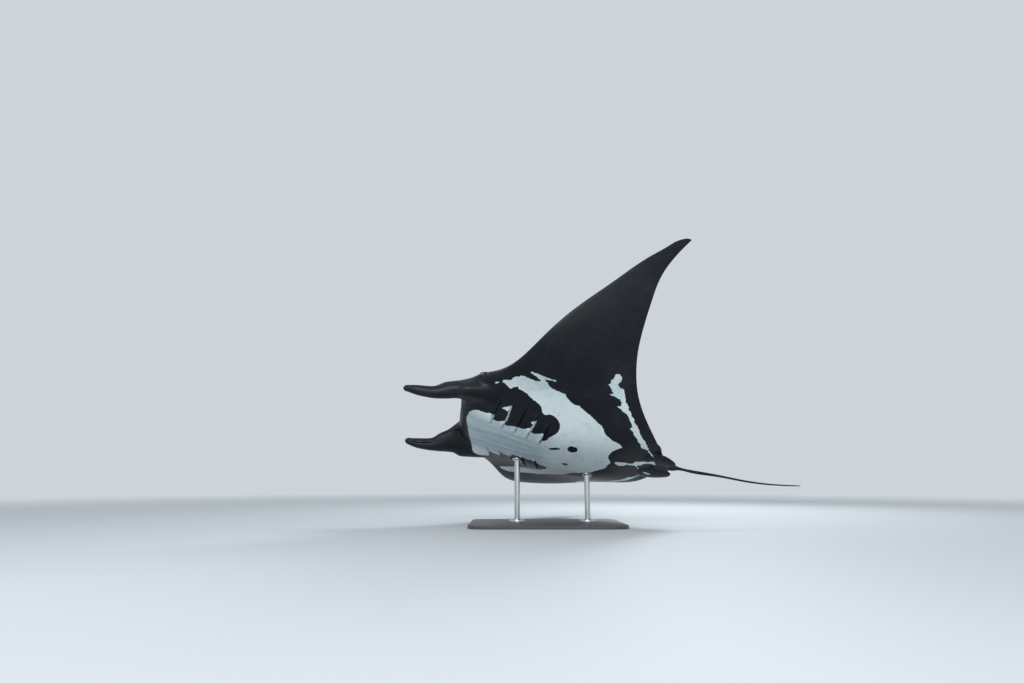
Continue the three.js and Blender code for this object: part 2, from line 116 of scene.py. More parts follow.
TAIL = [
    (1.85, 0, 0.002, 0.064, 0.058, 0), (1.92, 0, 0, 0.058, 0.05, 0),
    (1.99, 0, -0.003, 0.05, 0.042, 0), (2.05, 0, -0.002, 0.033, 0.029, 0),
    (2.085, 0, 0.002, 0.021, 0.019, 0), (2.2, 0, 0.01, 0.015, 0.014, 0),
    (2.45, 0, 0.042, 0.012, 0.011, 0), (2.7, 0, 0.066, 0.0095, 0.009, 0),
    (2.95, 0, 0.108, 0.007, 0.007, 0), (3.15, 0, 0.16, 0.0055, 0.0055, 0),
    (3.245, 0, 0.188, 0.004, 0.004, 0),
]

# Attitude on the stand, in degrees, and where the mouth is.
YAW = -2.3
NOSE_UP = 15.7
BANK = -30.7
MOUTH_POINT = (-0.784, 0.012, 1.08)
TO_STAND = (
    Matrix.Translation(MOUTH_POINT)
    @ Matrix.Rotation(math.radians(YAW), 4, "Z")
    @ Matrix.Rotation(math.radians(NOSE_UP), 4, "Y")
    @ Matrix.Rotation(math.radians(BANK), 4, "X")
)

# %% [markdown]
# ## Smooth curves
# A cubic spline gives the same soft line as a bent batten. Two small shapes, a step that eases in
# and out and a soft hill, are all that the relief on the skin needs later.


# %% Curves through stations
def smooth_through(stations):
    """Cubic curve through (position, value) pairs, level at the first one and free at the last."""
    at, value = np.array(stations, float).T
    span = np.diff(at)
    slope = np.diff(value) / span
    count = len(at)
    system = np.zeros((count, count))
    pull = np.zeros(count)
    system[0, :2] = 2 * span[0], span[0]
    pull[0] = 6 * slope[0]
    for i in range(1, count - 1):
        system[i, i - 1 : i + 2] = span[i - 1], 2 * (span[i - 1] + span[i]), span[i]
        pull[i] = 6 * (slope[i] - slope[i - 1])
    system[-1, -1] = 1
    bend = np.linalg.solve(system, pull)

    def curve(t):
        i = np.clip(np.searchsorted(at, t, side="right") - 1, 0, count - 2)
        a = (at[i + 1] - t) / span[i]
        b = 1 - a
        sag = (a**3 - a) * bend[i] + (b**3 - b) * bend[i + 1]
        return a * value[i] + b * value[i + 1] + sag * span[i] ** 2 / 6

    return curve


front_edge = smooth_through(FRONT_EDGE)
rear_edge = smooth_through(REAR_EDGE)
back_height = smooth_through(BACK_HEIGHT)
belly_depth = smooth_through(BELLY_DEPTH)
wing_rise = smooth_through(WING_RISE)
wing_twist = smooth_through(WING_TWIST)


def ease(value, low, high):
    """0 up to low, 1 from high, and an S-curve between."""
    t = np.clip((value - low) / (high - low), 0, 1)
    return t * t * (3 - 2 * t)


def bump(distance, width):
    """A soft hill: 1 at no distance, fading over a width."""
    return np.exp(-((distance / width) ** 2))


print("chord halfway out:", round(float(rear_edge(WING_ARC / 2) - front_edge(WING_ARC / 2)), 3), "m")

# %% [markdown]
# ## The bent wing
# The wing is drawn flat and then bent. Its distance out is measured along the curve, so bending never
# stretches it. The reverse of the bend is needed too, to lay finished skin flat and mark it.

# %% The bend, its reverse and the thickness
ARC_STEP = 0.005
FLATTEN_ROUNDS = 12
FLATTEN_STEP = 0.8
arc_at = np.arange(0, WING_ARC + 0.1, ARC_STEP)
arc_rise = np.radians(wing_rise(arc_at[:-1] + ARC_STEP / 2))
arc_y = np.concatenate([[0], np.cumsum(ARC_STEP * np.cos(arc_rise))])
arc_z = np.concatenate([[0], np.cumsum(ARC_STEP * np.sin(arc_rise))])


def lift(x, out):
    """How far twist and droop move a point along the wing's normal."""
    return (x - TWIST_LINE) * wing_twist(out) - NOSE_DROOP * (1 - ease(x, 0, DROOP_REACH))


def posed(x, span, height):
    """Flat position (x, signed distance out, height) to a point of the bent body."""
    out = np.abs(span)
    rise = np.radians(wing_rise(out))
    over = height + lift(x, out)
    y = np.interp(out, arc_at, arc_y) - over * np.sin(rise)
    z = np.interp(out, arc_at, arc_z) + over * np.cos(rise)
    return np.stack([x, np.sign(span) * y, z], axis=-1)


def posed_point(x, span, height):
    return posed(*np.array([[x], [span], [height]]))[0]


def laid_flat(points):
    """The reverse of posed: points of the bent body to (x, signed distance out, height)."""
    x, y, z = points.T
    out = np.abs(y)
    for _ in range(FLATTEN_ROUNDS):
        rise = np.radians(wing_rise(out))
        miss_y = np.abs(y) - np.interp(out, arc_at, arc_y)
        miss_z = z - np.interp(out, arc_at, arc_z)
        along_wing = miss_y * np.cos(rise) + miss_z * np.sin(rise)
        out = np.clip(out + FLATTEN_STEP * along_wing, 0, WING_ARC)
    height = miss_z * np.cos(rise) - miss_y * np.sin(rise) - lift(x, out)
    return x, np.sign(y) * out, height


def fullness(along):
    """Share of the greatest thickness, at a share of the way from the front to the rear edge."""
    nose = (1 - np.clip(1 - along / THICKEST, 0, 1) ** NOSE_POWER) ** (1 / NOSE_POWER)
    aft = np.clip((along - THICKEST) / (1 - THICKEST), 0, 1)
    return np.where(along < THICKEST, nose, (1 - aft**2) ** RUN_OUT_POWER)


def rim_round(along):
    """1 over the wing, falling to 0 at its front and rear edges."""
    aft = np.sqrt(np.clip(1 - along**RIM_POWER, 0, 1))
    return aft * np.sqrt(np.clip(1 - (1 - along) ** RIM_POWER, 0, 1))


def belly_skin(x, out):
    """Height of the belly's skin, which is negative, before any relief."""
    along = np.clip((x - front_edge(out)) / (rear_edge(out) - front_edge(out)), 0, 1)
    return -belly_depth(out) * fullness(along) - RIM * rim_round(along)


print("wing length along its curve:", WING_ARC, "m; disc length:", REAR_EDGE[0][1], "m")

# %% [markdown]
# ## Markings, drawn flat
# A manta's belly is white with dark blotches that end in teeth at the gill slits, and each animal
# has its own spots. The blotches are simple outlines drawn on the flattened belly as (x, distance
# out) in millimetres, left side negative. For any point of the skin the distance to an outline is
# easy to work out, and the finish later turns it into a crisp, slightly ragged edge.


# %% Outlines of the white and dark patches
def in_metres(outline):
    return [(x / 1000, out / 1000) for x, out in outline]


BELLY_WHITE = in_metres([
    # left edge of the throat, then the teeth of the dark blotch at the gill slits
    (85, -160), (100, -200), (115, -235), (140, -262), (165, -278), (200, -286), (260, -290),
    (300, -297), (345, -297), (338, -270), (331, -242), (360, -238), (390, -245), (420, -258),
    (440, -268), (450, -290), (454, -335), (456, -368), (430, -375), (395, -382), (410, -395),
    (440, -410), (465, -430), (478, -442), (481, -410), (476, -370), (471, -330), (464, -290),
    (455, -255), (447, -223), (475, -228), (500, -235), (535, -245), (570, -250), (600, -245),
    (630, -252), (660, -270), (685, -290), (697, -322), (672, -340), (695, -352), (715, -366),
    (725, -377), (720, -340), (712, -310), (705, -270), (693, -230), (730, -233), (760, -243),
    (785, -258), (808, -270), (812, -240), (806, -200), (800, -172),
    # round the blotch and forward along the inner edge of the pale band
    (830, -180), (852, -200), (865, -235), (890, -260), (910, -285), (930, -310), (940, -350),
    (933, -385), (915, -415), (890, -435), (860, -452), (830, -455), (800, -446), (770, -445),
    (750, -457), (741, -475), (735, -500), (715, -520), (680, -540), (650, -550), (600, -578),
    (575, -600), (540, -610), (500, -620), (492, -640), (475, -632), (455, -620), (435, -595),
    (415, -600), (400, -615), (375, -632), (355, -640),
    # back along its outer edge, past the long spike
    (353, -668), (390, -675), (420, -685), (430, -710), (450, -735), (485, -750), (500, -773),
    (540, -770), (580, -758), (630, -750), (678, -757), (665, -775), (640, -790), (610, -810),
    (575, -828), (585, -842), (630, -834), (680, -820), (740, -808), (800, -801), (795, -788),
    (740, -790), (700, -792), (715, -775), (735, -760), (755, -725), (790, -708), (840, -695),
    (905, -678), (930, -645), (965, -615), (1000, -600), (1060, -588), (1100, -560), (1150, -530),
    (1200, -500), (1250, -465), (1285, -445), (1310, -415), (1330, -385), (1355, -360),
    (1400, -330), (1440, -305), (1480, -290), (1500, -275), (1530, -250),
    # ahead of the pelvic fins and out along the right side's band
    (1500, -235), (1475, -215), (1450, -190), (1435, -160), (1430, -120), (1435, -85), (1455, -50),
    (1470, -25), (1460, 10), (1450, 45), (1445, 90), (1400, 120), (1360, 155), (1340, 185),
    (1280, 210), (1220, 235), (1150, 260), (1110, 330), (1060, 420), (1010, 500), (960, 570),
    (890, 640), (800, 690), (700, 730), (620, 765), (550, 790), (480, 775), (450, 735), (500, 700),
    (570, 650), (640, 600), (700, 545), (760, 490), (820, 440), (860, 390), (890, 330), (910, 280),
    (925, 235),
    # teeth of the right blotch, then the front of the throat
    (880, 225), (830, 210), (805, 190), (797, 160), (770, 165), (730, 168), (700, 175), (690, 178),
    (682, 155), (650, 160), (610, 162), (575, 170), (568, 150), (566, 215), (530, 225), (490, 228),
    (452, 222), (452, 300), (410, 305), (370, 295), (335, 290), (335, 450), (290, 452), (250, 450),
    (200, 430), (175, 410), (163, 380), (155, 310), (150, 200), (140, 140), (128, 80), (118, 20),
    (108, -30), (95, -80), (85, -120),
])
SHOULDER_FLECK = in_metres([
    (285, -605), (300, -602), (325, -630), (310, -630), (290, -617),
])
REAR_STREAK = in_metres([
    (1272, -932), (1285, -938), (1310, -938), (1325, -920), (1340, -893), (1335, -862),
    (1318, -855), (1318, -838), (1345, -815), (1385, -800), (1395, -770), (1405, -745),
    (1420, -715), (1425, -695), (1450, -665), (1465, -645), (1475, -620), (1500, -600),
    (1515, -570), (1540, -545), (1565, -500), (1600, -470), (1630, -425), (1665, -375),
    (1700, -340), (1725, -300), (1750, -260), (1770, -220), (1800, -188), (1835, -163),
    (1800, -178), (1770, -203), (1745, -235), (1715, -250), (1690, -255), (1675, -290),
    (1650, -320), (1630, -350), (1600, -380), (1570, -420), (1535, -455), (1550, -465),
    (1540, -490), (1510, -530), (1485, -565), (1460, -585), (1420, -605), (1400, -620),
    (1375, -640), (1400, -645), (1400, -665), (1385, -690), (1375, -705), (1340, -720),
    (1300, -735), (1275, -745), (1300, -750), (1295, -770), (1270, -800), (1250, -825),
    (1240, -830), (1255, -845), (1250, -870), (1265, -885), (1272, -905),
])
VENT_STREAK = in_metres([
    (1505, -35), (1550, -38), (1600, -32), (1640, -18), (1670, -25), (1690, -52), (1740, -58),
    (1790, -62), (1820, -95), (1855, -100), (1865, -75), (1880, -25), (1855, -28), (1800, -25),
    (1765, -20), (1757, 5), (1730, 0), (1722, 20), (1752, 78), (1735, 62), (1705, 12), (1660, 5),
    (1620, 0), (1605, 20), (1570, 25), (1540, 15), (1515, -5),
])
PELVIC_FLECK = in_metres([
    (1785, 100), (1820, 96), (1860, 107), (1872, 119), (1850, 124), (1815, 114),
])
# Dark spots on the white: (x, distance out, half length, half width, degrees it turns).
BELLY_SPOTS = [
    (1.098, -0.15, 0.046, 0.041, 0), (0.94, -0.11, 0.05, 0.0155, -20), (1.07, 0.1, 0.03, 0.015, -10),
    (0.797, -0.152, 0.026, 0.004, 80),
]
# Pale shoulder patch of the back, whose fellow makes the black T between them.
SHOULDER_PATCH = in_metres([
    (345, 200), (350, 300), (370, 450), (415, 600), (480, 750), (565, 900), (660, 1040),
    (750, 1140), (830, 1200), (870, 1170), (860, 1080), (815, 980), (800, 870), (770, 790),
    (710, 730), (700, 640), (710, 560), (680, 500), (615, 460), (580, 390), (550, 310), (490, 250),
    (430, 200), (380, 180),
])


def depth_inside(outline, x, span):
    """Distance to a closed outline on the flattened skin, positive inside it."""
    nearest = np.full(x.shape, 1e9)
    inside = np.zeros(x.shape, bool)
    for (ax, ay), (bx, by) in zip(outline, outline[1:] + outline[:1]):
        dx, dy = bx - ax, by - ay
        t = np.clip(((x - ax) * dx + (span - ay) * dy) / (dx * dx + dy * dy), 0, 1)
        nearest = np.minimum(nearest, np.hypot(x - ax - t * dx, span - ay - t * dy))
        crosses = (ay > span) != (by > span)
        inside ^= crosses & (x < ax + (span - ay) * dx / (dy if dy else 1e-9))
    return np.where(inside, nearest, -nearest)


def spot_depth(spot, x, span):
    """Roughly the distance inside an oval spot."""
    centre_x, centre_span, length, width, turn = spot
    c, s = math.cos(math.radians(turn)), math.sin(math.radians(turn))
    u = ((x - centre_x) * c + (span - centre_span) * s) / length
    v = ((span - centre_span) * c - (x - centre_x) * s) / width
    return (1 - np.hypot(u, v)) * min(length, width)


FAR_STREAK = [(x, -span) for x, span in REAR_STREAK]
WHITE_PATCHES = [BELLY_WHITE, SHOULDER_FLECK, REAR_STREAK, FAR_STREAK, VENT_STREAK, PELVIC_FLECK]


def belly_marking(x, span):
    """Distance inside the belly's white, negative where the skin is dark."""
    white = np.max([depth_inside(patch, x, span) for patch in WHITE_PATCHES], axis=0)
    for spot in BELLY_SPOTS:
        white = np.minimum(white, -spot_depth(spot, x, span))
    return white


def back_marking(x, span):
    return depth_inside(SHOULDER_PATCH, x, np.abs(span))


print("points in the belly's outline:", len(BELLY_WHITE))

# %% [markdown]
# ## The disc: a sheet wrapped round the wing
# Lofting a wing by hand means many matching rings. It is easier to wrap it: one flat grid is
# created, made finer where detail will come, and each of its points is then moved onto the ray. The
# grid's left and right borders meet along the rear edge and its ends close at the wing tips.

# %% From the flat sheet to the wing
SHEET_ROUND = 188  # steps round a section, belly and back together
SHEET_SPAN = 200  # steps from wing tip to wing tip
NOSE_AT = 0.14  # where the nose lies across the sheet, so that the belly gets finer rows
SHEET_SPREAD = [(0, 0), (0.4, 0.54), (0.56, 0.86), (0.92, 2.1), (0.965, 2.246), (1, WING_ARC)]
TIP_ROUND = 0.014
RIM_OF_CHORD = 0.1


def on_wing(u, v):
    """Place on the sheet to x, signed distance out, share of the way aft, back or not, and width left."""
    out = np.interp(np.abs(v), *np.array(SHEET_SPREAD).T)
    back = u > NOSE_AT
    t = np.where(back, (u - NOSE_AT) / (1 - NOSE_AT), (NOSE_AT - u) / (1 + NOSE_AT))
    along = (1 - np.cos(np.pi * np.clip(t, 0, 1))) / 2
    closing = np.sqrt(1 - np.clip((out - WING_ARC + TIP_ROUND) / TIP_ROUND, 0, 1) ** 2)
    front = front_edge(out)
    chord = rear_edge(out) - front
    x = front + chord * (0.5 + (along - 0.5) * closing)
    return x, np.sign(v) * out, along, back, closing


print("steps of the sheet:", SHEET_ROUND, "round by", SHEET_SPAN, "along")

# %% [markdown]
# ## Eyes, mouth, gill slits and folds on the disc
# A manta's eyes bulge at the sides of its head, and a web of skin joins each head fin to the mouth.
# Each gill slit lies behind a soft raised flap. These small swellings are sums of soft hills, added
# to the height of the skin, so the disc stays one smooth sheet.

# %% Relief of the head, belly and back
EYE_PLACE = np.array([0.152, 0.572, 0.026])  # x, distance out, height
EYE_LOOK = np.array([-0.42, 0.9, 0.1]) / np.linalg.norm([-0.42, 0.9, 0.1])
ORBIT_SWELL = 0.016
ORBIT_SPREAD = 0.085
ORBIT_FORWARD = 0.4

GILLS = [  # (x of the inner end, inner, outer)
    (0.318, 0.2, 0.47), (0.436, 0.186, 0.462), (0.554, 0.18, 0.438), (0.673, 0.165, 0.398),
    (0.797, 0.135, 0.34),
]
GILL_WIDTH = 0.009
GILL_DEPTH = 0.016
GILL_RAKE = 0.21
GILL_FADE_IN, GILL_FADE_OUT = (-0.03, 0.01), (-0.01, 0.04)

MOUTH = {"x": -0.014, "z": -0.066, "depth": 0.092, "half_width": 0.305, "half_height": 0.013}

WEB_FORWARD = 0.12
WEB_SPAN = (0.06, 0.4)  # distances out between which the web comes forward
WEB_END = 0.48  # distance out, inside the head fin, at which it is gone
WEB_ROOT = (-0.02, 0.16)  # x over which it fades into the head
WEB_FOOT = (-0.06, 0.04)  # heights over which it grows, from the lip up
CORNER_HEIGHT = -0.03  # height of the mouth's corners above the middle surface


def web(x, out, height):
    """How far the web of skin between mouth and head fin brings the head's front forward."""
    inner, outer = WEB_SPAN
    across = ease(out, inner, outer) * (1 - ease(out, outer, WEB_END))
    return WEB_FORWARD * across * (1 - ease(x, *WEB_ROOT)) * ease(height, *WEB_FOOT)


def gill_offset(x, out, gill):
    """How far a point lies behind a gill slit, and 1 along the slit fading to 0 past its ends."""
    start, inner, outer = gill
    fade_in, fade_out = (ease(out, end + low, end + high) for end, (low, high) in (
        (inner, GILL_FADE_IN), (outer, GILL_FADE_OUT)
    ))
    return x - start - GILL_RAKE * (out - inner), fade_in * (1 - fade_out)


FLAP_HEIGHT, FLAP_AHEAD, FLAP_WIDTH = 0.0065, 0.017, 0.015
DIP_DEPTH, DIP_BEHIND, DIP_WIDTH = 0.004, 0.013, 0.012
FOLD_SPACING = 0.085
FOLD_HEIGHT = 0.0019
FOLD_WANDER = 0.012
FOLD_START, FOLD_END, FOLD_SIDE = (0.1, 0.2), (0.62, 0.9), (0.14, 0.2)
KEEL_HEIGHT, KEEL_WIDTH = 0.007, 0.035
KEEL_START, KEEL_END = (0.45, 0.75), (1.5, 1.75)
NAPE_DEPTH, NAPE_X, NAPE_CURVE, NAPE_WIDTH = 0.006, 0.36, 0.25, 0.05
NAPE_SIDE = (0.35, 0.55)


def belly_relief(x, out):
    """Flaps in front of the gill slits, dips behind them, and the throat's lengthwise folds."""
    relief = np.zeros_like(x)
    for gill in GILLS:
        behind, reach = gill_offset(x, out, gill)
        flap = FLAP_HEIGHT * bump(behind + FLAP_AHEAD, FLAP_WIDTH)
        relief += reach * (flap - DIP_DEPTH * bump(behind - DIP_BEHIND, DIP_WIDTH))
    throat = ease(x, *FOLD_START) * (1 - ease(x, *FOLD_END)) * (1 - ease(out, *FOLD_SIDE))
    wander = FOLD_WANDER * np.sin(9 * x + 14 * out)
    return relief + throat * FOLD_HEIGHT * np.cos(2 * np.pi * (out + wander) / FOLD_SPACING)


def back_relief(x, out):
    """A low keel along the back, and the step where the head joins the trunk."""
    keel = KEEL_HEIGHT * bump(out, KEEL_WIDTH) * ease(x, *KEEL_START) * (1 - ease(x, *KEEL_END))
    nape = bump(x - NAPE_X - NAPE_CURVE * out**2, NAPE_WIDTH) * (1 - ease(out, *NAPE_SIDE))
    return keel - NAPE_DEPTH * nape


LIP_HEIGHT, LIP_RISE, LIP_WIDTH = 0.007, 0.026, 0.016
LOWER_LIP, LOWER_WIDTH = 0.7, 0.018  # share of the upper lip's height
GROOVE_DEPTH, GROOVE_AT, GROOVE_WIDTH = 0.003, 2.4, 0.014
LIP_ENDS, LIP_BEHIND = (0.27, 0.36), (0.02, 0.12)


def lips(points):
    """Pushes out a rounded lip above and below the mouth's line."""
    x, y, z = points.T
    from_mouth = z - MOUTH["z"]
    reach = (1 - ease(np.abs(y), *LIP_ENDS)) * (1 - ease(x, *LIP_BEHIND))
    upper = LIP_HEIGHT * bump(from_mouth - LIP_RISE, LIP_WIDTH)
    lower = LOWER_LIP * LIP_HEIGHT * bump(from_mouth + LIP_RISE, LOWER_WIDTH)
    groove = GROOVE_DEPTH * bump(np.abs(from_mouth) - GROOVE_AT * LIP_RISE, GROOVE_WIDTH)
    return np.stack([x - reach * (upper + lower - groove), y, z], -1)


def disc_point(u, v):
    """Place on the sheet to the point of the ray's disc that it becomes."""
    x, span, along, back, closing = on_wing(u, v)
    out = np.abs(span)
    rim = np.minimum(RIM, (rear_edge(out) - front_edge(out)) * RIM_OF_CHORD) * rim_round(along)
    upper = back_height(out) * fullness(along) + rim + back_relief(x, out) * rim_round(along)
    lower = -belly_depth(out) * fullness(along) - rim - belly_relief(x, out) * rim_round(along)
    height = np.where(back, upper, lower) * closing
    near_eye = (x - EYE_PLACE[0]) ** 2 + (out - EYE_PLACE[1]) ** 2 + (height - EYE_PLACE[2]) ** 2
    swell = ORBIT_SWELL * np.exp(-near_eye / ORBIT_SPREAD**2)
    x, out = x - swell * ORBIT_FORWARD - web(x, out, height), out + swell
    return lips(posed(x, np.where(span < 0, -1, 1) * out, height))


print("mouth width:", 2 * MOUTH["half_width"], "m; gill slits:", 2 * len(GILLS))

# %% [markdown]
# ## Finer where it matters
# Small faces everywhere would make the mesh heavy. Only the faces by the mouth, eyes, gill slits and
# edges of the markings are split, twice, while the sheet is still flat. Its borders are left whole,
# so that they still match when they meet.


# %% Make the sheet finer, wrap it and close it
SHEET_BORDER = 0.97
MOUTH_ZONE = (0.004, 0.36)  # share along the section, and distance out
EYE_ZONE = 0.045
SLIT_ZONE = 0.012
WELD_GAP = 1e-5


def sheet_places(bm_items, place):
    return np.array([place(item)[:2] for item in bm_items]).T


def finer(sheet, margin):
    """Splits the faces by the mouth, the eyes, the gill slits and the edges of the markings."""
    u, v = sheet_places(sheet.faces, lambda face: face.calc_center_median())
    x, span, along, back, _ = on_wing(u, v)
    out = np.abs(span)
    mouth = (along < MOUTH_ZONE[0]) & (out < MOUTH_ZONE[1])
    eye = np.hypot(x - EYE_PLACE[0], out - EYE_PLACE[1]) < EYE_ZONE + 2 * margin
    below = np.abs(belly_marking(x, span)) < margin
    for gill in GILLS:
        behind, reach = gill_offset(x, out, gill)
        below |= (np.abs(behind) < SLIT_ZONE + margin) & (reach > 0)
    inner = np.maximum(np.abs(u), np.abs(v)) < SHEET_BORDER
    chosen = inner & (mouth | eye | (~back & below))
    edges = {edge for face, pick in zip(sheet.faces, chosen) if pick for edge in face.edges}
    bmesh.ops.subdivide_edges(
        sheet, edges=list(edges), cuts=1, use_grid_fill=True, use_single_edge=True
    )


def make_piece(bm, name):
    """Turns a finished bmesh into an object of the scene."""
    mesh = bpy.data.meshes.new(name)
    bm.to_mesh(mesh)
    bm.free()
    piece = bpy.data.objects.new(name, mesh)
    bpy.context.scene.collection.objects.link(piece)
    return piece


def move_points(bm, points):
    for vert, point in zip(bm.verts, points.tolist()):
        vert.co = point


def open_edges(bm):
    return sum(not edge.is_manifold for edge in bm.edges)


def closed_mesh(bm, name):
    """Welds a wrapped sheet shut, turns its faces out and makes it an object."""
    bmesh.ops.remove_doubles(bm, verts=bm.verts, dist=WELD_GAP)
    bmesh.ops.dissolve_degenerate(bm, edges=bm.edges, dist=WELD_GAP)
    bmesh.ops.triangulate(bm, faces=bm.faces)
    bmesh.ops.recalc_face_normals(bm, faces=bm.faces)
    print(name, "faces:", len(bm.faces), "open edges:", open_edges(bm))
    return make_piece(bm, name)


sheet = bmesh.new()
bmesh.ops.create_grid(sheet, x_segments=SHEET_ROUND, y_segments=SHEET_SPAN, size=1)
for margin in (0.018, 0.009):
    finer(sheet, margin)
move_points(sheet, disc_point(*sheet_places(sheet.verts, lambda vert: vert.co)))
skin = closed_mesh(sheet, "ray_skin")

# %% [markdown]
# ## Fins and tail
# The rolled head fins, the pelvic fins, the low fin on the back and the tail are all tapered rods
# with an oval section, so one function wraps a small sheet round a line of stations. A head fin is
# a flat fin rolled up like a leaf: its section steps inwards just past the seam.

# %% Wrap a sheet round a line of stations
HORN_GROOVE = 0.3
HORN_SEAM_AT = 0.62
HORN_SEAM_TWIST = 0.16
HORN_SEAM_FADE = (-0.13, -0.32)  # x over which the seam appears
HORN_ROLL = 0.55  # radians over which the step at the seam fades
HORN_BEAD, BEAD_BEFORE, BEAD_WIDTH = 0.06, 0.15, 0.3  # height and radians
ROUNDED_END = 0.03
END_CROWDING = 0.8  # how far the rings crowd towards the ends
LOOK_ALONG = 0.004


def rod_section(stations, side, t):
    """Centre, long axis and short axis of the rod at each share of its length."""
    table = np.array(stations, float) * [1, side, 1, 1, 1, 1]
    steps = np.linalg.norm(np.diff(table[:, :3], axis=0), axis=1)
    at = np.concatenate([[0], np.cumsum(steps)])
    columns = [smooth_through(list(zip(at, column))) for column in table.T]
    values = np.stack([column(t * at[-1]) for column in columns], -1)
    ahead, behind = (
        np.stack([column(np.clip(t + step, 0, 1) * at[-1]) for column in columns[:3]], -1)
        for step in (LOOK_ALONG, -LOOK_ALONG)
    )
    along = ahead - behind
    along /= np.linalg.norm(along, axis=1, keepdims=True)
    across = np.array([0, 1, 0]) - along * along[:, 1:2]
    across /= np.linalg.norm(across, axis=1, keepdims=True)
    up = np.cross(along, across)
    up *= np.where(up[:, 2:] < 0, -1, 1)
    lean = np.radians(values[:, 5:6])
    outward = across * side
    ends = np.minimum(t, 1 - t) / ROUNDED_END
    closing = np.sqrt(1 - (1 - np.clip(ends, 0, 1)) ** 2)[:, None]
    long_axis = (outward * np.cos(lean) - up * np.sin(lean)) * values[:, 3:4] * closing
    short_axis = (up * np.cos(lean) + outward * np.sin(lean)) * values[:, 4:5] * closing
    return values[:, :3], long_axis, short_axis


def rod(name, stations, side, round_steps, length_steps, rolled=False):
    """A closed tapered rod, with a head fin's rolled seam if wanted."""
    bm = bmesh.new()
    bmesh.ops.create_grid(bm, x_segments=round_steps, y_segments=length_steps, size=1)
    u, v = sheet_places(bm.verts, lambda vert: vert.co)
    turn = np.pi * (u + 1)
    t = (1 - np.cos(np.pi * (v + 1) / 2)) / 2 * END_CROWDING + (v + 1) / 2 * (1 - END_CROWDING)
    centre, long_axis, short_axis = rod_section(stations, side, t)
    radius = np.ones_like(turn)
    if rolled:
        fade = 1 - ease(centre[:, 0], HORN_SEAM_FADE[1], HORN_SEAM_FADE[0])
        seam = 2 * np.pi * (HORN_SEAM_AT + HORN_SEAM_TWIST * (t - 0.5))
        past = np.mod(turn - seam, 2 * np.pi)
        radius -= HORN_GROOVE * fade * np.exp(-past / HORN_ROLL)
        radius += HORN_BEAD * fade * bump(past - 2 * np.pi + BEAD_BEFORE, BEAD_WIDTH)
    ring = np.cos(turn)[:, None] * long_axis + np.sin(turn)[:, None] * short_axis
    move_points(bm, centre + ring * radius[:, None])
    return closed_mesh(bm, name)


SIDES = {"left": -1, "right": 1}
fins = [rod("back_fin_shape", BACK_FIN, 1, 28, 40), rod("tail_shape", TAIL, 1, 24, 150)]
for side_name, side in SIDES.items():
    fins.append(rod("horn_shape_" + side_name, HORN, side, 64, 90, rolled=True))
    fins.append(rod("pelvic_shape_" + side_name, PELVIC_FIN, side, 40, 44))

# %% [markdown]
# ## One skin
# Booleans weld the fins to the disc and leave a hard crease at each join. Real skin flows over it,
# so the points near each new crease are relaxed, most at the crease and less further out. The brow
# of the web, between the mouth and each head fin, is softened in the same way.


# %% Weld, find the creases and relax them
SHORTEST = 0.0004
FINE_EDGE = 0.009
FINE_ROUNDS = 5  # more rounds for the fine faces, where each round moves a point less
RELAX_SHARE = 0.6
RELAX = {"horn": (0.17, 110), "pelvic": (0.035, 20), "back": (0.03, 20), "tail": (0.04, 20)}
BROW_FROM = 0.03  # least forward shift of the points counted as the web's brow
BROW_TOP = 0.06
BROW_RELAX = (0.06, 60)
NEW_POINT = 2e-6  # a point further than this from all old ones is new


def points_of(piece):
    flat = np.empty(len(piece.data.vertices) * 3, np.float32)
    piece.data.vertices.foreach_get("co", flat)
    return flat.reshape(-1, 3).astype(float)


def set_points(piece, points):
    piece.data.vertices.foreach_set("co", points.astype(np.float32).ravel())


def tree_of(points):
    tree = KDTree(len(points))
    for i, point in enumerate(points):
        tree.insert(point, i)
    tree.balance()
    return tree


def boolean(body, tool, operation):
    """Applies a boolean with a tool, then removes the tool."""
    modifier = body.modifiers.new(operation, "BOOLEAN")
    modifier.operation = operation
    modifier.solver = "MANIFOLD"
    modifier.object = tool
    bpy.context.view_layer.update()
    evaluated = body.evaluated_get(bpy.context.evaluated_depsgraph_get())
    result = bpy.data.meshes.new_from_object(evaluated)
    body.modifiers.clear()
    body.data = result
    bpy.data.objects.remove(tool)


def weld(body, fin):
    """Joins a fin to the body and returns the points of the new crease between them."""
    known = tree_of(np.concatenate([points_of(body), points_of(fin)]))
    boolean(body, fin, "UNION")
    crease = [point for point in points_of(body) if known.find(point)[2] > NEW_POINT]
    print("welded, faces:", len(body.data.polygons), "points on the crease:", len(crease))
    return crease


def relax(body, creases):
    """Draws each point near a crease towards its neighbours, again and again."""
    points = points_of(body)
    ends = np.empty(len(body.data.edges) * 2, np.int32)
    body.data.edges.foreach_get("vertices", ends)
    a, b = ends.reshape(-1, 2).T
    for crease, radius, rounds in creases:
        tree = tree_of(crease)
        pull = np.array([max(0, 1 - tree.find(point)[2] / radius) for point in points])
        near = (pull[a] > 0) | (pull[b] > 0)
        used, local = np.unique(np.concatenate([a[near], b[near]]), return_inverse=True)
        first, second = local.reshape(2, -1)
        place = points[used]
        length = np.linalg.norm(place[first] - place[second], axis=1)
        weight = 1 / np.maximum(length, SHORTEST)

        def gathered(from_second, from_first):
            """Adds up what each edge brings to its two ends."""
            at_first = np.bincount(first, from_second, len(used))
            return at_first + np.bincount(second, from_first, len(used))

        total = gathered(weight, weight)
        fine = gathered(length, length) / gathered(None, None) < FINE_EDGE
        for i in range(rounds * (1 + FINE_ROUNDS)):
            sums = [gathered(weight * place[second, k], weight * place[first, k]) for k in range(3)]
            drawn = np.stack(sums, axis=1)
            share = RELAX_SHARE * pull[used] * (fine if i >= rounds else 1)
            place += (drawn / total[:, None] - place) * share[:, None]
        points[used] = place
    set_points(body, points)


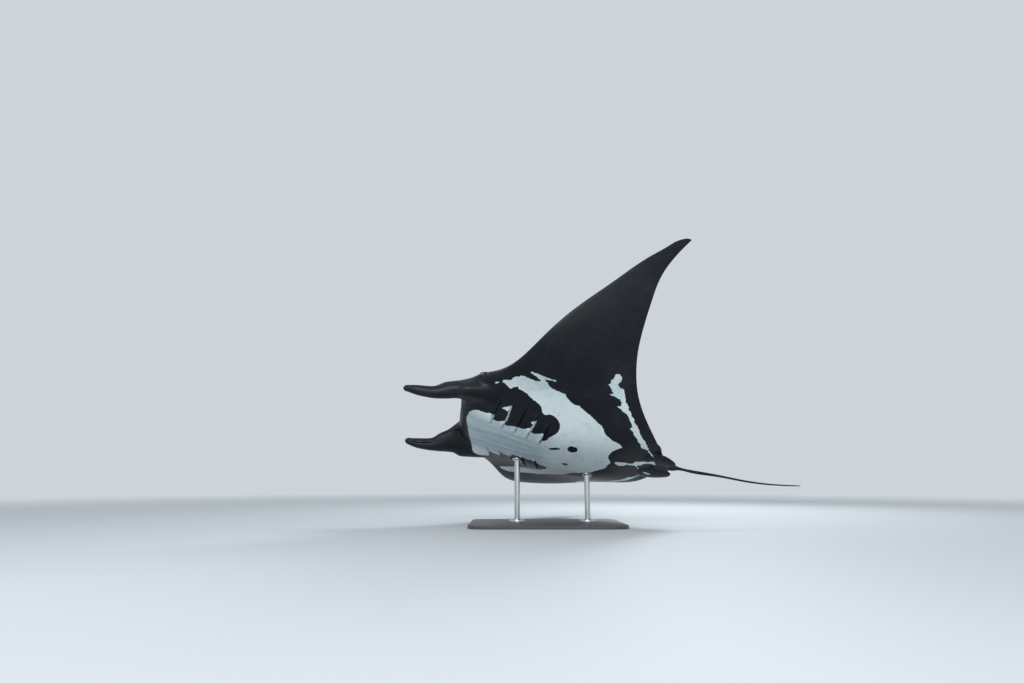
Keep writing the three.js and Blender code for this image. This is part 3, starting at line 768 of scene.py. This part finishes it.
creases = []
for fin in fins:
    reach = RELAX[fin.name.split("_")[0]]
    creases.append((weld(skin, fin), *reach))
points = points_of(skin)
x, span, height = laid_flat(points)
on_brow = (web(x, np.abs(span), height) > BROW_FROM) & (height < BROW_TOP) & (x < 0)
creases.append((points[on_brow], *BROW_RELAX))
print("points on the web's brow:", int(on_brow.sum()))
relax(skin, creases)

# %% [markdown]
# ## Lids
# A ray has no moving lids: its eye sits in a thick collar of skin, heavier above, with a shallow
# furrow round it. The collar is pushed up from the skin along the line that the eye looks along.

# %% Raise the collars round the eyes
LID_RADIUS = 0.03
LID_HEIGHT = 0.008
LID_WIDTH = 0.008
FURROW_RADIUS = 0.052
FURROW_DEPTH = 0.0045
FURROW_WIDTH = 0.01
BROW_RADIUS = 0.042
BROW_HEIGHT = 0.007
BROW_WIDTH = 0.013
BROW_RISE = 0.03  # the brow is only above the eye
LID_REACH = 0.04  # how far behind the eye's middle the collar starts


def eye_place(side):
    return posed_point(*(EYE_PLACE * [1, side, 1]))


points = points_of(skin)
for side in SIDES.values():
    look = EYE_LOOK * [1, side, 1]
    from_eye = points - eye_place(side)
    ahead = from_eye @ look
    ring = np.linalg.norm(from_eye - ahead[:, None] * look, axis=1)
    collar = LID_HEIGHT * bump(ring - LID_RADIUS, LID_WIDTH)
    furrow = FURROW_DEPTH * bump(ring - FURROW_RADIUS, FURROW_WIDTH)
    above = ease(from_eye[:, 2], 0, BROW_RISE)
    brow = BROW_HEIGHT * bump(ring - BROW_RADIUS, BROW_WIDTH) * above
    push = (collar - furrow + brow) * ease(ahead, -LID_REACH, 0)
    points += push[:, None] * look
    print("collar raised by up to", round(float(push.max()), 4), "m")
set_points(skin, points)

# %% [markdown]
# ## Mouth, gill slits, eye sockets, nostrils and spiracles
# Openings are cut last, so that their rims stay thin and crisp. Each gill slit leans forward under
# its flap, as the flap in life lies back over the slit. The small slit behind each eye is the
# spiracle, through which a ray at rest can draw water.

# %% Cut the openings
SLIT_STEPS = 28
SLIT_LEAN = 0.6  # how far forward the slit runs for each unit of depth
SLIT_TAPER = 0.75  # how much narrower the slit is at its ends
SLIT_CLEAR = 0.03  # how far the cutting shape stands clear of the skin
SOCKET_RADIUS = 0.0293
SPIRACLE = {"place": (0.31, 0.475), "size": (0.026, 0.004, 0.014), "turn": 25}
NOSTRIL = {"place": (0.236, -0.03), "search": 0.012, "size": (0.016, 0.019, 0.0045), "turn": 20}


def gill_tool(gill, side):
    """A thin curved wedge that cuts one gill slit."""
    start, inner, outer = gill
    bm = bmesh.new()
    bmesh.ops.create_cube(bm, size=2)
    long_edges = [edge for edge in bm.edges if abs(edge.verts[0].co.x - edge.verts[1].co.x) > 1]
    bmesh.ops.subdivide_edges(bm, edges=long_edges, cuts=SLIT_STEPS, use_grid_fill=True)
    share, across, deep = np.array([vert.co for vert in bm.verts]).T
    out = inner + (outer - inner) * (share + 1) / 2
    depth = np.where(deep > 0, GILL_DEPTH, -SLIT_CLEAR)
    width = GILL_WIDTH / 2 * (1 - SLIT_TAPER * share**4)
    x = start + GILL_RAKE * (out - inner) + across * width - SLIT_LEAN * depth
    move_points(bm, posed(x, side * out, belly_skin(x, out) + depth))
    bmesh.ops.recalc_face_normals(bm, faces=bm.faces)
    bmesh.ops.triangulate(bm, faces=bm.faces)
    return make_piece(bm, "gill_tool")


def ball_tool(centre, size, turn=Matrix.Identity(4)):
    """A stretched ball that cuts a rounded opening."""
    bm = bmesh.new()
    bmesh.ops.create_uvsphere(bm, u_segments=56, v_segments=28, radius=1)
    bmesh.ops.triangulate(bm, faces=bm.faces)
    shape = Matrix.Translation(centre) @ turn @ Matrix.Diagonal((*size, 1))
    bmesh.ops.transform(bm, matrix=shape, verts=bm.verts)
    return make_piece(bm, "ball_tool")


mouth_size = (MOUTH["depth"], MOUTH["half_width"], MOUTH["half_height"])
tools = [ball_tool((MOUTH["x"], 0, MOUTH["z"]), mouth_size)]
gape = points_of(tools[0])
gape[:, 0] -= web(0, np.abs(gape[:, 1]), CORNER_HEIGHT)
set_points(tools[0], gape)
for side in SIDES.values():
    for gill in GILLS:
        tools.append(gill_tool(gill, side))
    tools.append(ball_tool(eye_place(side), [SOCKET_RADIUS] * 3))
    out, height = NOSTRIL["place"]
    aside = np.hypot(points[:, 1] - side * out, points[:, 2] - height)
    foremost = points[aside < NOSTRIL["search"]][:, 0].min()
    turn = Matrix.Rotation(math.radians(side * NOSTRIL["turn"]), 4, "X")
    tools.append(ball_tool((foremost, side * out, height), NOSTRIL["size"], turn))
    x, out = SPIRACLE["place"]
    along = (x - front_edge(out)) / (rear_edge(out) - front_edge(out))
    top = back_height(out) * fullness(along) + RIM
    turn = Matrix.Rotation(math.radians(side * SPIRACLE["turn"]), 4, "Z")
    tools.append(ball_tool(posed_point(x, side * out, top), SPIRACLE["size"], turn))

together = bmesh.new()
for tool in tools:
    together.from_mesh(tool.data)
    bpy.data.objects.remove(tool)
boolean(skin, make_piece(together, "openings"), "DIFFERENCE")
print("cut, faces:", len(skin.data.polygons))

# %% [markdown]
# ## What each point of the skin should look like
# The finish needs three numbers at each point: how far inside a white patch it lies, how deep inside
# an opening, which sets the painted shade on the cut walls, and whether it is on the throat, whose
# grey is partly real and partly painted shade. They are worked out on the flattened ray and stored
# on the mesh, so they stay with the skin. The ray is then tilted into its swimming pose.

# %% Marking distances, creases and attitude
CREASE_ANGLE = math.radians(48)
MARKING_LIMIT = 0.1
HOLLOW_FROM, HOLLOW_TO = 0.0005, 0.008
LIP_BACK = 0.01
FRONT_MARGIN = 0.02
SLIT_BACK, SLIT_FRONT = 0.01, -0.022  # how far behind a slit's line its walls reach
MOUTH_SLACK = 1.02
THROAT_END, THROAT_SIDE = (0.7, 1.0), (0.2, 0.3)


def store(piece, name, values):
    """Keeps one number for each point of a piece."""
    kept = piece.data.attributes.new(name, "FLOAT", "POINT")
    kept.data.foreach_set("value", values.astype(np.float32))


def depth_in_openings(points, x, out, height):
    """How far a point lies under the skin's own surface, which only cut walls do."""
    under_belly = height - belly_skin(x, out) + belly_relief(x, out)
    under_belly = np.where(x > front_edge(out) + FRONT_MARGIN, under_belly, 0)
    slits = np.zeros_like(x)
    for gill in GILLS:
        behind, reach = gill_offset(x, out, gill)
        near = (behind > SLIT_FRONT) & (behind < SLIT_BACK) & (reach > 0.01)
        slits = np.where(near & (height < 0), np.maximum(slits, under_belly), slits)
    unbent = points + np.outer(web(0, np.abs(points[:, 1]), CORNER_HEIGHT), [1, 0, 0])
    from_mouth = (unbent - [MOUTH["x"], 0, MOUTH["z"]]) / mouth_size
    in_mouth = np.linalg.norm(from_mouth, axis=1) < MOUTH_SLACK
    return np.maximum(slits, np.where(in_mouth, unbent[:, 0] + LIP_BACK, 0))


def shaded(bm, angle):
    """Smooth shading, except across edges sharper than an angle."""
    for face in bm.faces:
        face.smooth = True
    for edge in bm.edges:
        edge.smooth = edge.is_manifold and edge.calc_face_angle() < angle


def keep(piece, slot, *nodes):
    """Hides the construction nodes that a piece replaces and ties the piece to its body. The slot is not
    used.
    """
    if nodes:
        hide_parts(*nodes)
    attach(piece, "root")
    print(piece.name, "faces:", len(piece.data.polygons))
    return piece


points = points_of(skin)
x, span, height = laid_flat(points)
out = np.abs(span)
edge_distance = np.where(height < 0, belly_marking(x, span), back_marking(x, span))
flat = np.stack([x, span, height], -1)
skin.data.attributes.new("flat", "FLOAT_VECTOR", "POINT").data.foreach_set("vector", flat.ravel())
# The throat's mask: where its grey goes, partly real and partly painted shade, and the painted shade of
# its folds.
throat = (1 - ease(x, *THROAT_END)) * (1 - ease(out, *THROAT_SIDE)) * (height < 0)
store(skin, "throat", throat)
store(skin, "white_edge", np.clip(edge_distance, -MARKING_LIMIT, MARKING_LIMIT))
# Depth inside the mouth and gill slits, which the finish turns into painted shade on their walls.
store(skin, "hollow", ease(depth_in_openings(points, x, out, height), HOLLOW_FROM, HOLLOW_TO))

bm = bmesh.new()
bm.from_mesh(skin.data)
bmesh.ops.triangulate(bm, faces=[face for face in bm.faces if len(face.verts) > 3])
bmesh.ops.transform(bm, matrix=TO_STAND, verts=bm.verts)
shaded(bm, CREASE_ANGLE)
print("open edges of the skin:", open_edges(bm))
bm.to_mesh(skin.data)
bm.free()
skin_nodes = [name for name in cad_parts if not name.startswith(("eye_", "stand_"))]
keep(skin, "skin", *skin_nodes)

# %% [markdown]
# ## Eyes
# Each eye is a ball of glossy resin with a slightly bulging cornea. Its pole points the way that the
# eye looks, so the distance from the pole, stored on each point, gives the pupil, iris and white.

# %% Eyeballs
CORNEA_SWELL = 0.0006
CORNEA_REACH = 0.7  # radians from the pole
EYE_BALL = 0.0282


def eyeball(side_name, side):
    """A ball with a bulging cornea, which knows how far each point is from its pupil."""
    look = Vector(EYE_LOOK * [1, side, 1])
    centre = Vector(eye_place(side))
    bm = bmesh.new()
    bmesh.ops.create_uvsphere(bm, u_segments=72, v_segments=48, radius=1)
    away = np.array([vert.co for vert in bm.verts])
    from_pole = np.arccos(np.clip(away[:, 2], -1, 1))
    grown = EYE_BALL + CORNEA_SWELL * (1 - ease(from_pole, 0, CORNEA_REACH))
    move_points(bm, away * grown[:, None])
    turn = look.to_track_quat("Z", "Y").to_matrix().to_4x4()
    bmesh.ops.transform(bm, matrix=TO_STAND @ Matrix.Translation(centre) @ turn, verts=bm.verts)
    shaded(bm, CREASE_ANGLE)
    piece = make_piece(bm, "ray_eye_" + side_name)
    store(piece, "from_pole", from_pole)
    store(piece, "pupil_across", away[:, 0])
    store(piece, "pupil_up", away[:, 1])
    return keep(piece, "eye", "eye_" + side_name)


eyes = [eyeball(side_name, side) for side_name, side in SIDES.items()]

# %% [markdown]
# ## The display stand
# A museum stand for a hollow cast ray is a heavy steel base plate, two round posts and a small
# dished saddle on each post, welded and screwed inside the model. Rounded edges matter here, because
# light always catches a thin line on a worked edge.

# %% Base plate
BASE = {"length": 1.4, "width": 1.0, "thickness": 0.03, "corner": 0.12, "bevel": 0.004}
BRIM_ANGLE = 1.2


def bevelled(bm, geom, affect, offset, segments):
    bmesh.ops.bevel(
        bm, geom=geom, affect=affect, offset=offset, offset_type="OFFSET",
        segments=segments, profile=0.5, material=-1,
    )


bm = bmesh.new()
bmesh.ops.create_grid(bm, x_segments=1, y_segments=1, size=0.5)
bmesh.ops.scale(bm, vec=(BASE["length"], BASE["width"], 1), verts=bm.verts)
bevelled(bm, list(bm.verts), "VERTICES", BASE["corner"], 16)
raised = bmesh.ops.extrude_face_region(bm, geom=list(bm.faces))["geom"]
top = [item for item in raised if isinstance(item, bmesh.types.BMVert)]
bmesh.ops.translate(bm, vec=(0, 0, BASE["thickness"]), verts=top)
bmesh.ops.recalc_face_normals(bm, faces=bm.faces)
brim = [edge for edge in bm.edges if edge.calc_face_angle() > BRIM_ANGLE]
bevelled(bm, brim, "EDGES", BASE["bevel"], 4)
shaded(bm, CREASE_ANGLE)
base = keep(make_piece(bm, "base_plate"), "stand_base", "stand_base")

# %% [markdown]
# ## Posts, flanges and saddles
# These are all turned parts, so each is half a profile swept once round an axis.

# %% Turned parts
ROUND_STEPS = 72
ROD_RADIUS = 0.026
GAP = 0.0003
STEEL_CREASE = math.radians(30)
POST_SPARE = 0.03  # length left on a post before it is cut to the saddle
UNDERSIDE = -0.7
FLANGE_FOOT = 0.0303
FLANGE_PROFILE = [  # (radius, height)
    (0.0263, 0), (0.0745, 0), (0.075, 0.0005), (0.075, 0.0135), (0.0743, 0.0152), (0.0725, 0.016),
    (0.034, 0.016), (0.0305, 0.0172), (0.0283, 0.0198), (0.0272, 0.0235), (0.0263, 0.0242),
]
SADDLE_PROFILE = [
    (0, 0), (0.0435, 0), (0.0458, 0.0009), (0.047, 0.0032), (0.047, 0.026), (0, 0.026),
]


def turned(profile, steps=ROUND_STEPS):
    """A solid of revolution about Z."""
    bm = bmesh.new()
    rim = [bm.verts.new((radius, 0, height)) for radius, height in profile]
    closed = profile[0][0] > 0
    pairs = zip(rim, rim[1:] + rim[:1]) if closed else zip(rim, rim[1:])
    edges = [bm.edges.new(pair) for pair in pairs]
    bmesh.ops.spin(
        bm, geom=rim + edges, cent=(0, 0, 0), axis=(0, 0, 1), angle=math.tau, steps=steps, use_merge=True
    )
    bmesh.ops.remove_doubles(bm, verts=bm.verts, dist=1e-6)
    bmesh.ops.recalc_face_normals(bm, faces=bm.faces)
    return bm


def saddle_seat(node):
    """Centre and upward axis of a saddle's flat underside, read from the construction model."""
    mesh = node.data
    world = node.matrix_world
    turn = world.to_3x3()
    faces = [f for f in mesh.polygons if (turn @ f.normal).normalized().z < UNDERSIDE]
    axis = -sum((turn @ f.normal * f.area for f in faces), Vector()).normalized()
    corners = {i for f in faces for i in f.vertices}
    centre = sum((world @ mesh.vertices[i].co for i in corners), Vector()) / len(corners)
    return centre, axis


def copy_of(piece, shift):
    other = bpy.data.objects.new("copy", piece.data.copy())
    other.data.transform(Matrix.Translation(shift))
    bpy.context.scene.collection.objects.link(other)
    return other


def drop_above(bm, point, normal):
    """Cuts away what lies beyond a plane and closes the cut."""
    everything = list(bm.verts) + list(bm.edges) + list(bm.faces)
    cut = bmesh.ops.bisect_plane(
        bm, geom=everything, plane_co=point, plane_no=normal, clear_outer=True
    )["geom_cut"]
    rim = [item for item in cut if isinstance(item, bmesh.types.BMEdge)]
    bmesh.ops.edgeloop_fill(bm, edges=rim)
    bmesh.ops.recalc_face_normals(bm, faces=bm.faces)


def steel_piece(bm, name, *nodes):
    shaded(bm, STEEL_CREASE)
    steel_pieces.append(keep(make_piece(bm, name), "stand_steel", *nodes))


steel_pieces = []
for place in ("front", "rear"):
    seat, axis = saddle_seat(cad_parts["stand_saddle_" + place])
    low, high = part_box("stand_rod_" + place)
    x, y = (low.x + high.x) / 2, (low.y + high.y) / 2

    bm = turned(SADDLE_PROFILE)
    lean = Vector((0, 0, 1)).rotation_difference(axis).to_matrix().to_4x4()
    bmesh.ops.transform(bm, matrix=Matrix.Translation(seat) @ lean, verts=bm.verts)
    bmesh.ops.triangulate(bm, faces=bm.faces)
    saddle = make_piece(bm, "saddle_blank")
    boolean(saddle, copy_of(skin, (0, 0, -GAP)), "DIFFERENCE")
    bm = bmesh.new()
    bm.from_mesh(saddle.data)
    bpy.data.objects.remove(saddle)
    steel_piece(bm, "saddle_" + place, "stand_saddle_" + place)

    length = high.z - low.z + POST_SPARE
    bm = turned([(0, 0), (ROD_RADIUS, 0), (ROD_RADIUS, length), (0, length)])
    bmesh.ops.translate(bm, vec=(x, y, low.z), verts=bm.verts)
    drop_above(bm, seat - axis * GAP, axis)
    steel_piece(bm, "post_" + place, "stand_rod_" + place)

    bm = turned(FLANGE_PROFILE)
    bmesh.ops.translate(bm, vec=(x, y, FLANGE_FOOT), verts=bm.verts)
    steel_piece(bm, "flange_" + place, "stand_flange_" + place)

# %% [markdown]
# ## Screws
# Each flange is held by four plain button-head screws, one at each corner of a square.

# %% Screws
SCREW_CIRCLE = 0.055
SCREW_STEPS = 36
SCREW_PROFILE = [
    (0, 0.0022), (0.0032, 0.0022), (0.0034, 0.0044), (0.0052, 0.0042), (0.0074, 0.0028),
    (0.0082, 0.0008), (0.0082, -0.0002), (0, -0.0002),
]
for place in ("front", "rear"):
    low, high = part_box("stand_flange_" + place)
    for number in range(4):
        angle = math.radians(45 + 90 * number)
        bm = turned(SCREW_PROFILE, SCREW_STEPS)
        spot = Vector((math.cos(angle), math.sin(angle), 0)) * SCREW_CIRCLE
        middle = Vector(((low.x + high.x) / 2, (low.y + high.y) / 2, high.z + GAP))
        bmesh.ops.translate(bm, vec=middle + spot, verts=bm.verts)
        steel_piece(bm, f"screw_{place}_{number + 1}")

# %% [markdown]
# ## Finishes from sums
# A finish is a small program: it reads a place on the surface and gives a colour. One class stands
# for a value inside it, so that sums can be written the usual way.


# %% Values and finishes
def put(tree, socket, item):
    """Links a value to a socket, or sets a plain number or colour on it."""
    if isinstance(item, Value):
        tree.links.new(item.socket, socket)
    else:
        socket.default_value = item


def sum_of(operation, reflected=False):
    """Makes the method that a sign such as + calls. When reflected, the value comes second."""

    def method(self, other):
        node = self.tree.nodes.new("ShaderNodeMath")
        node.operation = operation
        for socket, item in zip(node.inputs, (other, self) if reflected else (self, other)):
            put(self.tree, socket, item)
        return Value(self.tree, node.outputs[0])

    return method


class Value:
    """A number or colour inside a finish. Arithmetic on it adds math nodes."""

    def __init__(self, tree, socket):
        self.tree = tree
        self.socket = socket

    __add__ = __radd__ = sum_of("ADD")
    __mul__ = __rmul__ = sum_of("MULTIPLY")
    __pow__ = sum_of("POWER")
    __sub__ = sum_of("SUBTRACT")
    __rsub__ = sum_of("SUBTRACT", reflected=True)


class Finish:
    """A material, and short ways to add nodes to it."""

    def __init__(self, name, **constants):
        self.material = bpy.data.materials.new(name)
        self.material.use_nodes = True
        self.tree = self.material.node_tree
        self.shader = self.tree.nodes["Principled BSDF"]
        self.set({key.replace("_", " "): value for key, value in constants.items()})

    def set(self, items):
        for name, item in items.items():
            put(self.tree, self.shader.inputs[name], item)

    def node(self, kind, settings, inputs, output=0):
        node = self.tree.nodes.new(kind)
        for name, value in settings.items():
            setattr(node, name, value)
        for name, item in inputs.items():
            put(self.tree, node.inputs[name], item)
        return Value(self.tree, node.outputs[output])

    def place(self):
        return self.node("ShaderNodeTexCoord", {}, {}, "Object")

    def stored(self, name, output="Fac"):
        return self.node("ShaderNodeAttribute", {"attribute_name": name}, {}, output)

    def noise(self, place, scale, detail=2.0, roughness=0.5):
        inputs = {"Vector": place, "Scale": scale, "Detail": detail, "Roughness": roughness}
        return self.node("ShaderNodeTexNoise", {}, inputs)

    def stretched(self, place, scale):
        return self.node("ShaderNodeMapping", {}, {"Vector": place, "Scale": scale})

    def step(self, value, low, high):
        """0 below low, 1 above high, and a soft step between."""
        inputs = {"Value": value, "From Min": low, "From Max": high}
        return self.node("ShaderNodeMapRange", {"interpolation_type": "SMOOTHSTEP"}, inputs)

    def mix(self, share, first, second):
        inputs = {0: share, 6: first, 7: second}
        return self.node("ShaderNodeMix", {"data_type": "RGBA"}, inputs, 2)

    def bump(self, height, strength, distance):
        inputs = {"Height": height, "Strength": strength, "Distance": distance}
        self.set({"Normal": self.node("ShaderNodeBump", {}, inputs)})

    def paint(self, *pieces):
        for piece in pieces:
            piece.data.materials.clear()
            piece.data.materials.append(self.material)
        print(self.material.name, "nodes", len(self.tree.nodes), "pieces", len(pieces))


# %% [markdown]
# ## Skin
# The cast skin is painted in two coats, a blue-black and a cool white, under a satin varnish. The
# edge of the white is crisp, but small noise added to the stored distance makes it ragged like
# pigment. Fine bumps stand for the ray's tiny tooth-like scales. The throat's grey is partly real and
# partly painted shade, its lengthwise streaks are painted shade of its folds, and the walls of the
# mouth and gill slits carry painted shade.

# %% Skin finish
BLACK = (0.0048, 0.0062, 0.01, 1)
BLACK_WORN = (0.011, 0.014, 0.021, 1)
WHITE = (0.66, 0.74, 0.76, 1)
# Grey for the white: random clouds of real grey tone, and painted shade along the throat's folds.
WHITE_GREY_AND_FOLD_SHADE = (0.4, 0.5, 0.54, 1)
# Grey of the throat: partly the real grey there, partly painted shade of a throat turned away from the
# light.
THROAT_GREY_AND_PAINTED_SHADE = (0.3, 0.39, 0.43, 1)
# Painted shade on the cut walls of the mouth and gill slits.
OPENING_WALL_SHADE = (0.004, 0.005, 0.007, 1)
EDGE_RAGGED = 0.026
EDGE_SOFT = 0.0015

coat = Finish("ray_skin", IOR=1.42, Specular_IOR_Level=0.32)
where = coat.place()
broad = coat.noise(where, 3.5, 3.0)
patchy = coat.noise(where, 22.0, 4.0, 0.6)
ragged = coat.noise(where, 38.0, 4.0, 0.62)
grain = coat.noise(where, 420.0, 2.0, 0.6)
edge = coat.stored("white_edge") + (ragged - 0.5) * EDGE_RAGGED
white_share = coat.step(edge, -EDGE_SOFT, EDGE_SOFT)
black = coat.mix(coat.step(broad * 0.6 + patchy * 0.4, 0.42, 0.68), BLACK, BLACK_WORN)
lengthwise = coat.stretched(coat.stored("flat", "Vector"), (1.3, 11.0, 0.0))
throat = coat.stored("throat")
# Lengthwise streaks on the throat: painted shade standing for the soft shadows of its folds.
fold_shade_streaks = coat.step(coat.noise(lengthwise, 1.0), 0.45, 0.72) * throat
clouds = coat.step(broad * 0.55 + patchy * 0.45, 0.46, 0.66)
# The white greyed by random clouds and by the painted fold shade.
white = coat.mix(clouds * 0.55 + fold_shade_streaks * 0.85, WHITE, WHITE_GREY_AND_FOLD_SHADE)
# Throat greyed: partly real grey, partly painted shade where it faces away from the light.
white = coat.mix(throat * 0.6, white, THROAT_GREY_AND_PAINTED_SHADE)
painted = coat.mix(white_share, black, white)
coat.set({
    # The walls of the mouth and gill slits darken with depth: painted shade.
    "Base Color": coat.mix(coat.stored("hollow"), painted, OPENING_WALL_SHADE),
    "Roughness": 0.38 + white_share * 0.08 + patchy * 0.1,
})
coat.bump(grain + patchy * 2.0, 0.22, 0.0012)
coat.paint(skin)

# %% [markdown]
# ## Eyes, steel and paint
# The eye is dark brown with a wide black pupil under clear varnish. The posts are brushed steel and
# the base is satin dark grey paint with a very fine texture.

# %% Eye, steel and base finishes
PUPIL_SIZE, PUPIL_SOFT = 0.42, 0.02
IRIS_SIZE, IRIS_SOFT = 0.78, 0.05
PUPIL_BLACK = (0.002, 0.002, 0.003, 1)
IRIS_DARK = (0.02, 0.012, 0.007, 1)
IRIS_BROWN = (0.075, 0.05, 0.028, 1)
EYE_WHITE = (0.012, 0.012, 0.014, 1)
STEEL_DARK, STEEL_PALE = (0.5, 0.51, 0.52, 1), (0.62, 0.63, 0.64, 1)
PAINT_DARK, PAINT_PALE = (0.045, 0.05, 0.055, 1), (0.06, 0.066, 0.072, 1)

glass = Finish("ray_eye", Roughness=0.12, Coat_Weight=1.0, Coat_Roughness=0.03)
wide = glass.stored("pupil_across") * 0.72
pupil = (wide * wide + glass.stored("pupil_up") ** 2.0) ** 0.5
iris = glass.noise(glass.place(), 260.0, 3.0)
iris = glass.mix(glass.step(iris, 0.35, 0.7), IRIS_DARK, IRIS_BROWN)
past_iris = glass.step(glass.stored("from_pole"), IRIS_SIZE - IRIS_SOFT, IRIS_SIZE + IRIS_SOFT)
past_pupil = glass.step(pupil, PUPIL_SIZE - PUPIL_SOFT, PUPIL_SIZE + PUPIL_SOFT)
outer = glass.mix(past_iris, iris, EYE_WHITE)
glass.set({"Base Color": glass.mix(past_pupil, PUPIL_BLACK, outer)})
glass.paint(*eyes)

steel = Finish("brushed_steel", Metallic=1.0)
brushed = steel.noise(steel.stretched(steel.place(), (60.0, 60.0, 3.0)), 12.0, 4.0, 0.65)
steel.set({
    "Base Color": steel.mix(brushed, STEEL_DARK, STEEL_PALE),
    "Roughness": 0.24 + brushed * 0.14,
})
steel.bump(brushed, 0.08, 0.0004)
steel.paint(*steel_pieces)

enamel = Finish("base_paint", Metallic=0.0)
speck = enamel.noise(enamel.place(), 900.0, 1.0)
cloud = enamel.noise(enamel.place(), 5.0, 3.0)
enamel.set({
    "Base Color": enamel.mix(cloud, PAINT_DARK, PAINT_PALE),
    "Roughness": 0.4 + cloud * 0.12,
})
enamel.bump(speck, 0.12, 0.0003)
enamel.paint(base)

# %% [markdown]
# ## Studio
# A pale floor runs out to meet a pale surround, so nothing competes with the ray. A broad soft lamp
# on the belly's side shows the markings, a weaker one lights the belly from low down, and one from
# behind draws a thin line along the wings' edges.

# %% Floor and lamps
FLOOR_RADIUS = 60.0
FLOOR_FADE = (5.0, 16.0)  # distances over which the floor melts into the surround
SURROUND = (0.76, 0.82, 0.87, 1)
SURROUND_STRENGTH = 0.8
bm = bmesh.new()
bmesh.ops.create_circle(bm, cap_ends=True, segments=96, radius=FLOOR_RADIUS)
floor = make_piece(bm, "floor")
pale = Finish("studio_floor", Roughness=0.75)
away = pale.node("ShaderNodeVectorMath", {"operation": "LENGTH"}, {0: pale.place()}, "Value")
pale.set({
    "Base Color": (0.5, 0.535, 0.56, 1),
    "Alpha": 1 - pale.step(away, *FLOOR_FADE),
})
pale.paint(floor)


def lamp(name, place, aim, size, power, colour):
    """A round soft lamp that points at a place."""
    light = bpy.data.lights.new(name, "AREA")
    light.shape = "DISK"
    light.size = size
    light.energy = power
    light.color = colour
    holder = bpy.data.objects.new(name, light)
    holder.location = place
    holder.rotation_euler = (Vector(aim) - Vector(place)).to_track_quat("-Z", "Y").to_euler()
    bpy.context.scene.collection.objects.link(holder)


MIDDLE = (0.2, 0.2, 1.1)
lamp("key", (-2.6, -6.8, 5.2), MIDDLE, 3.0, 330, (1, 0.99, 0.97))
lamp("low_fill", (0.5, -7.2, 1.6), MIDDLE, 2.6, 48, (0.93, 0.97, 1))
lamp("rim", (2.8, 4.6, 4.6), MIDDLE, 2.0, 260, (0.95, 0.98, 1))

world = bpy.data.worlds.new("surround")
world.use_nodes = True
background = world.node_tree.nodes["Background"].inputs
background["Color"].default_value = SURROUND
background["Strength"].default_value = SURROUND_STRENGTH
bpy.context.scene.world = world
bpy.context.scene.view_settings.view_transform = "Standard"

# %% [markdown]
# ## Camera
# The ray is seen from below and from its left, so the camera stands low on that side, just above the
# floor, and is tilted up. A wide lens gives the strong perspective of a close view.

# %% Camera
CAMERA_PLACE = (-0.3136, -6.2347, 0.4147)
CAMERA_PITCH = 102.0  # degrees, where 90 looks level
CAMERA_LENS = 22.852
SENSOR_WIDTH = 36.0
FARTHEST = 200.0
camera_data = bpy.data.cameras.new("camera")
camera_data.lens = CAMERA_LENS
camera_data.sensor_width = SENSOR_WIDTH
camera_data.clip_end = FARTHEST
camera = bpy.data.objects.new("camera", camera_data)
camera.location = CAMERA_PLACE
camera.rotation_euler = (math.radians(CAMERA_PITCH), 0, 0)
bpy.context.scene.collection.objects.link(camera)
bpy.context.scene.camera = camera
print("camera height:", CAMERA_PLACE[2], "m; lens:", CAMERA_LENS, "mm")
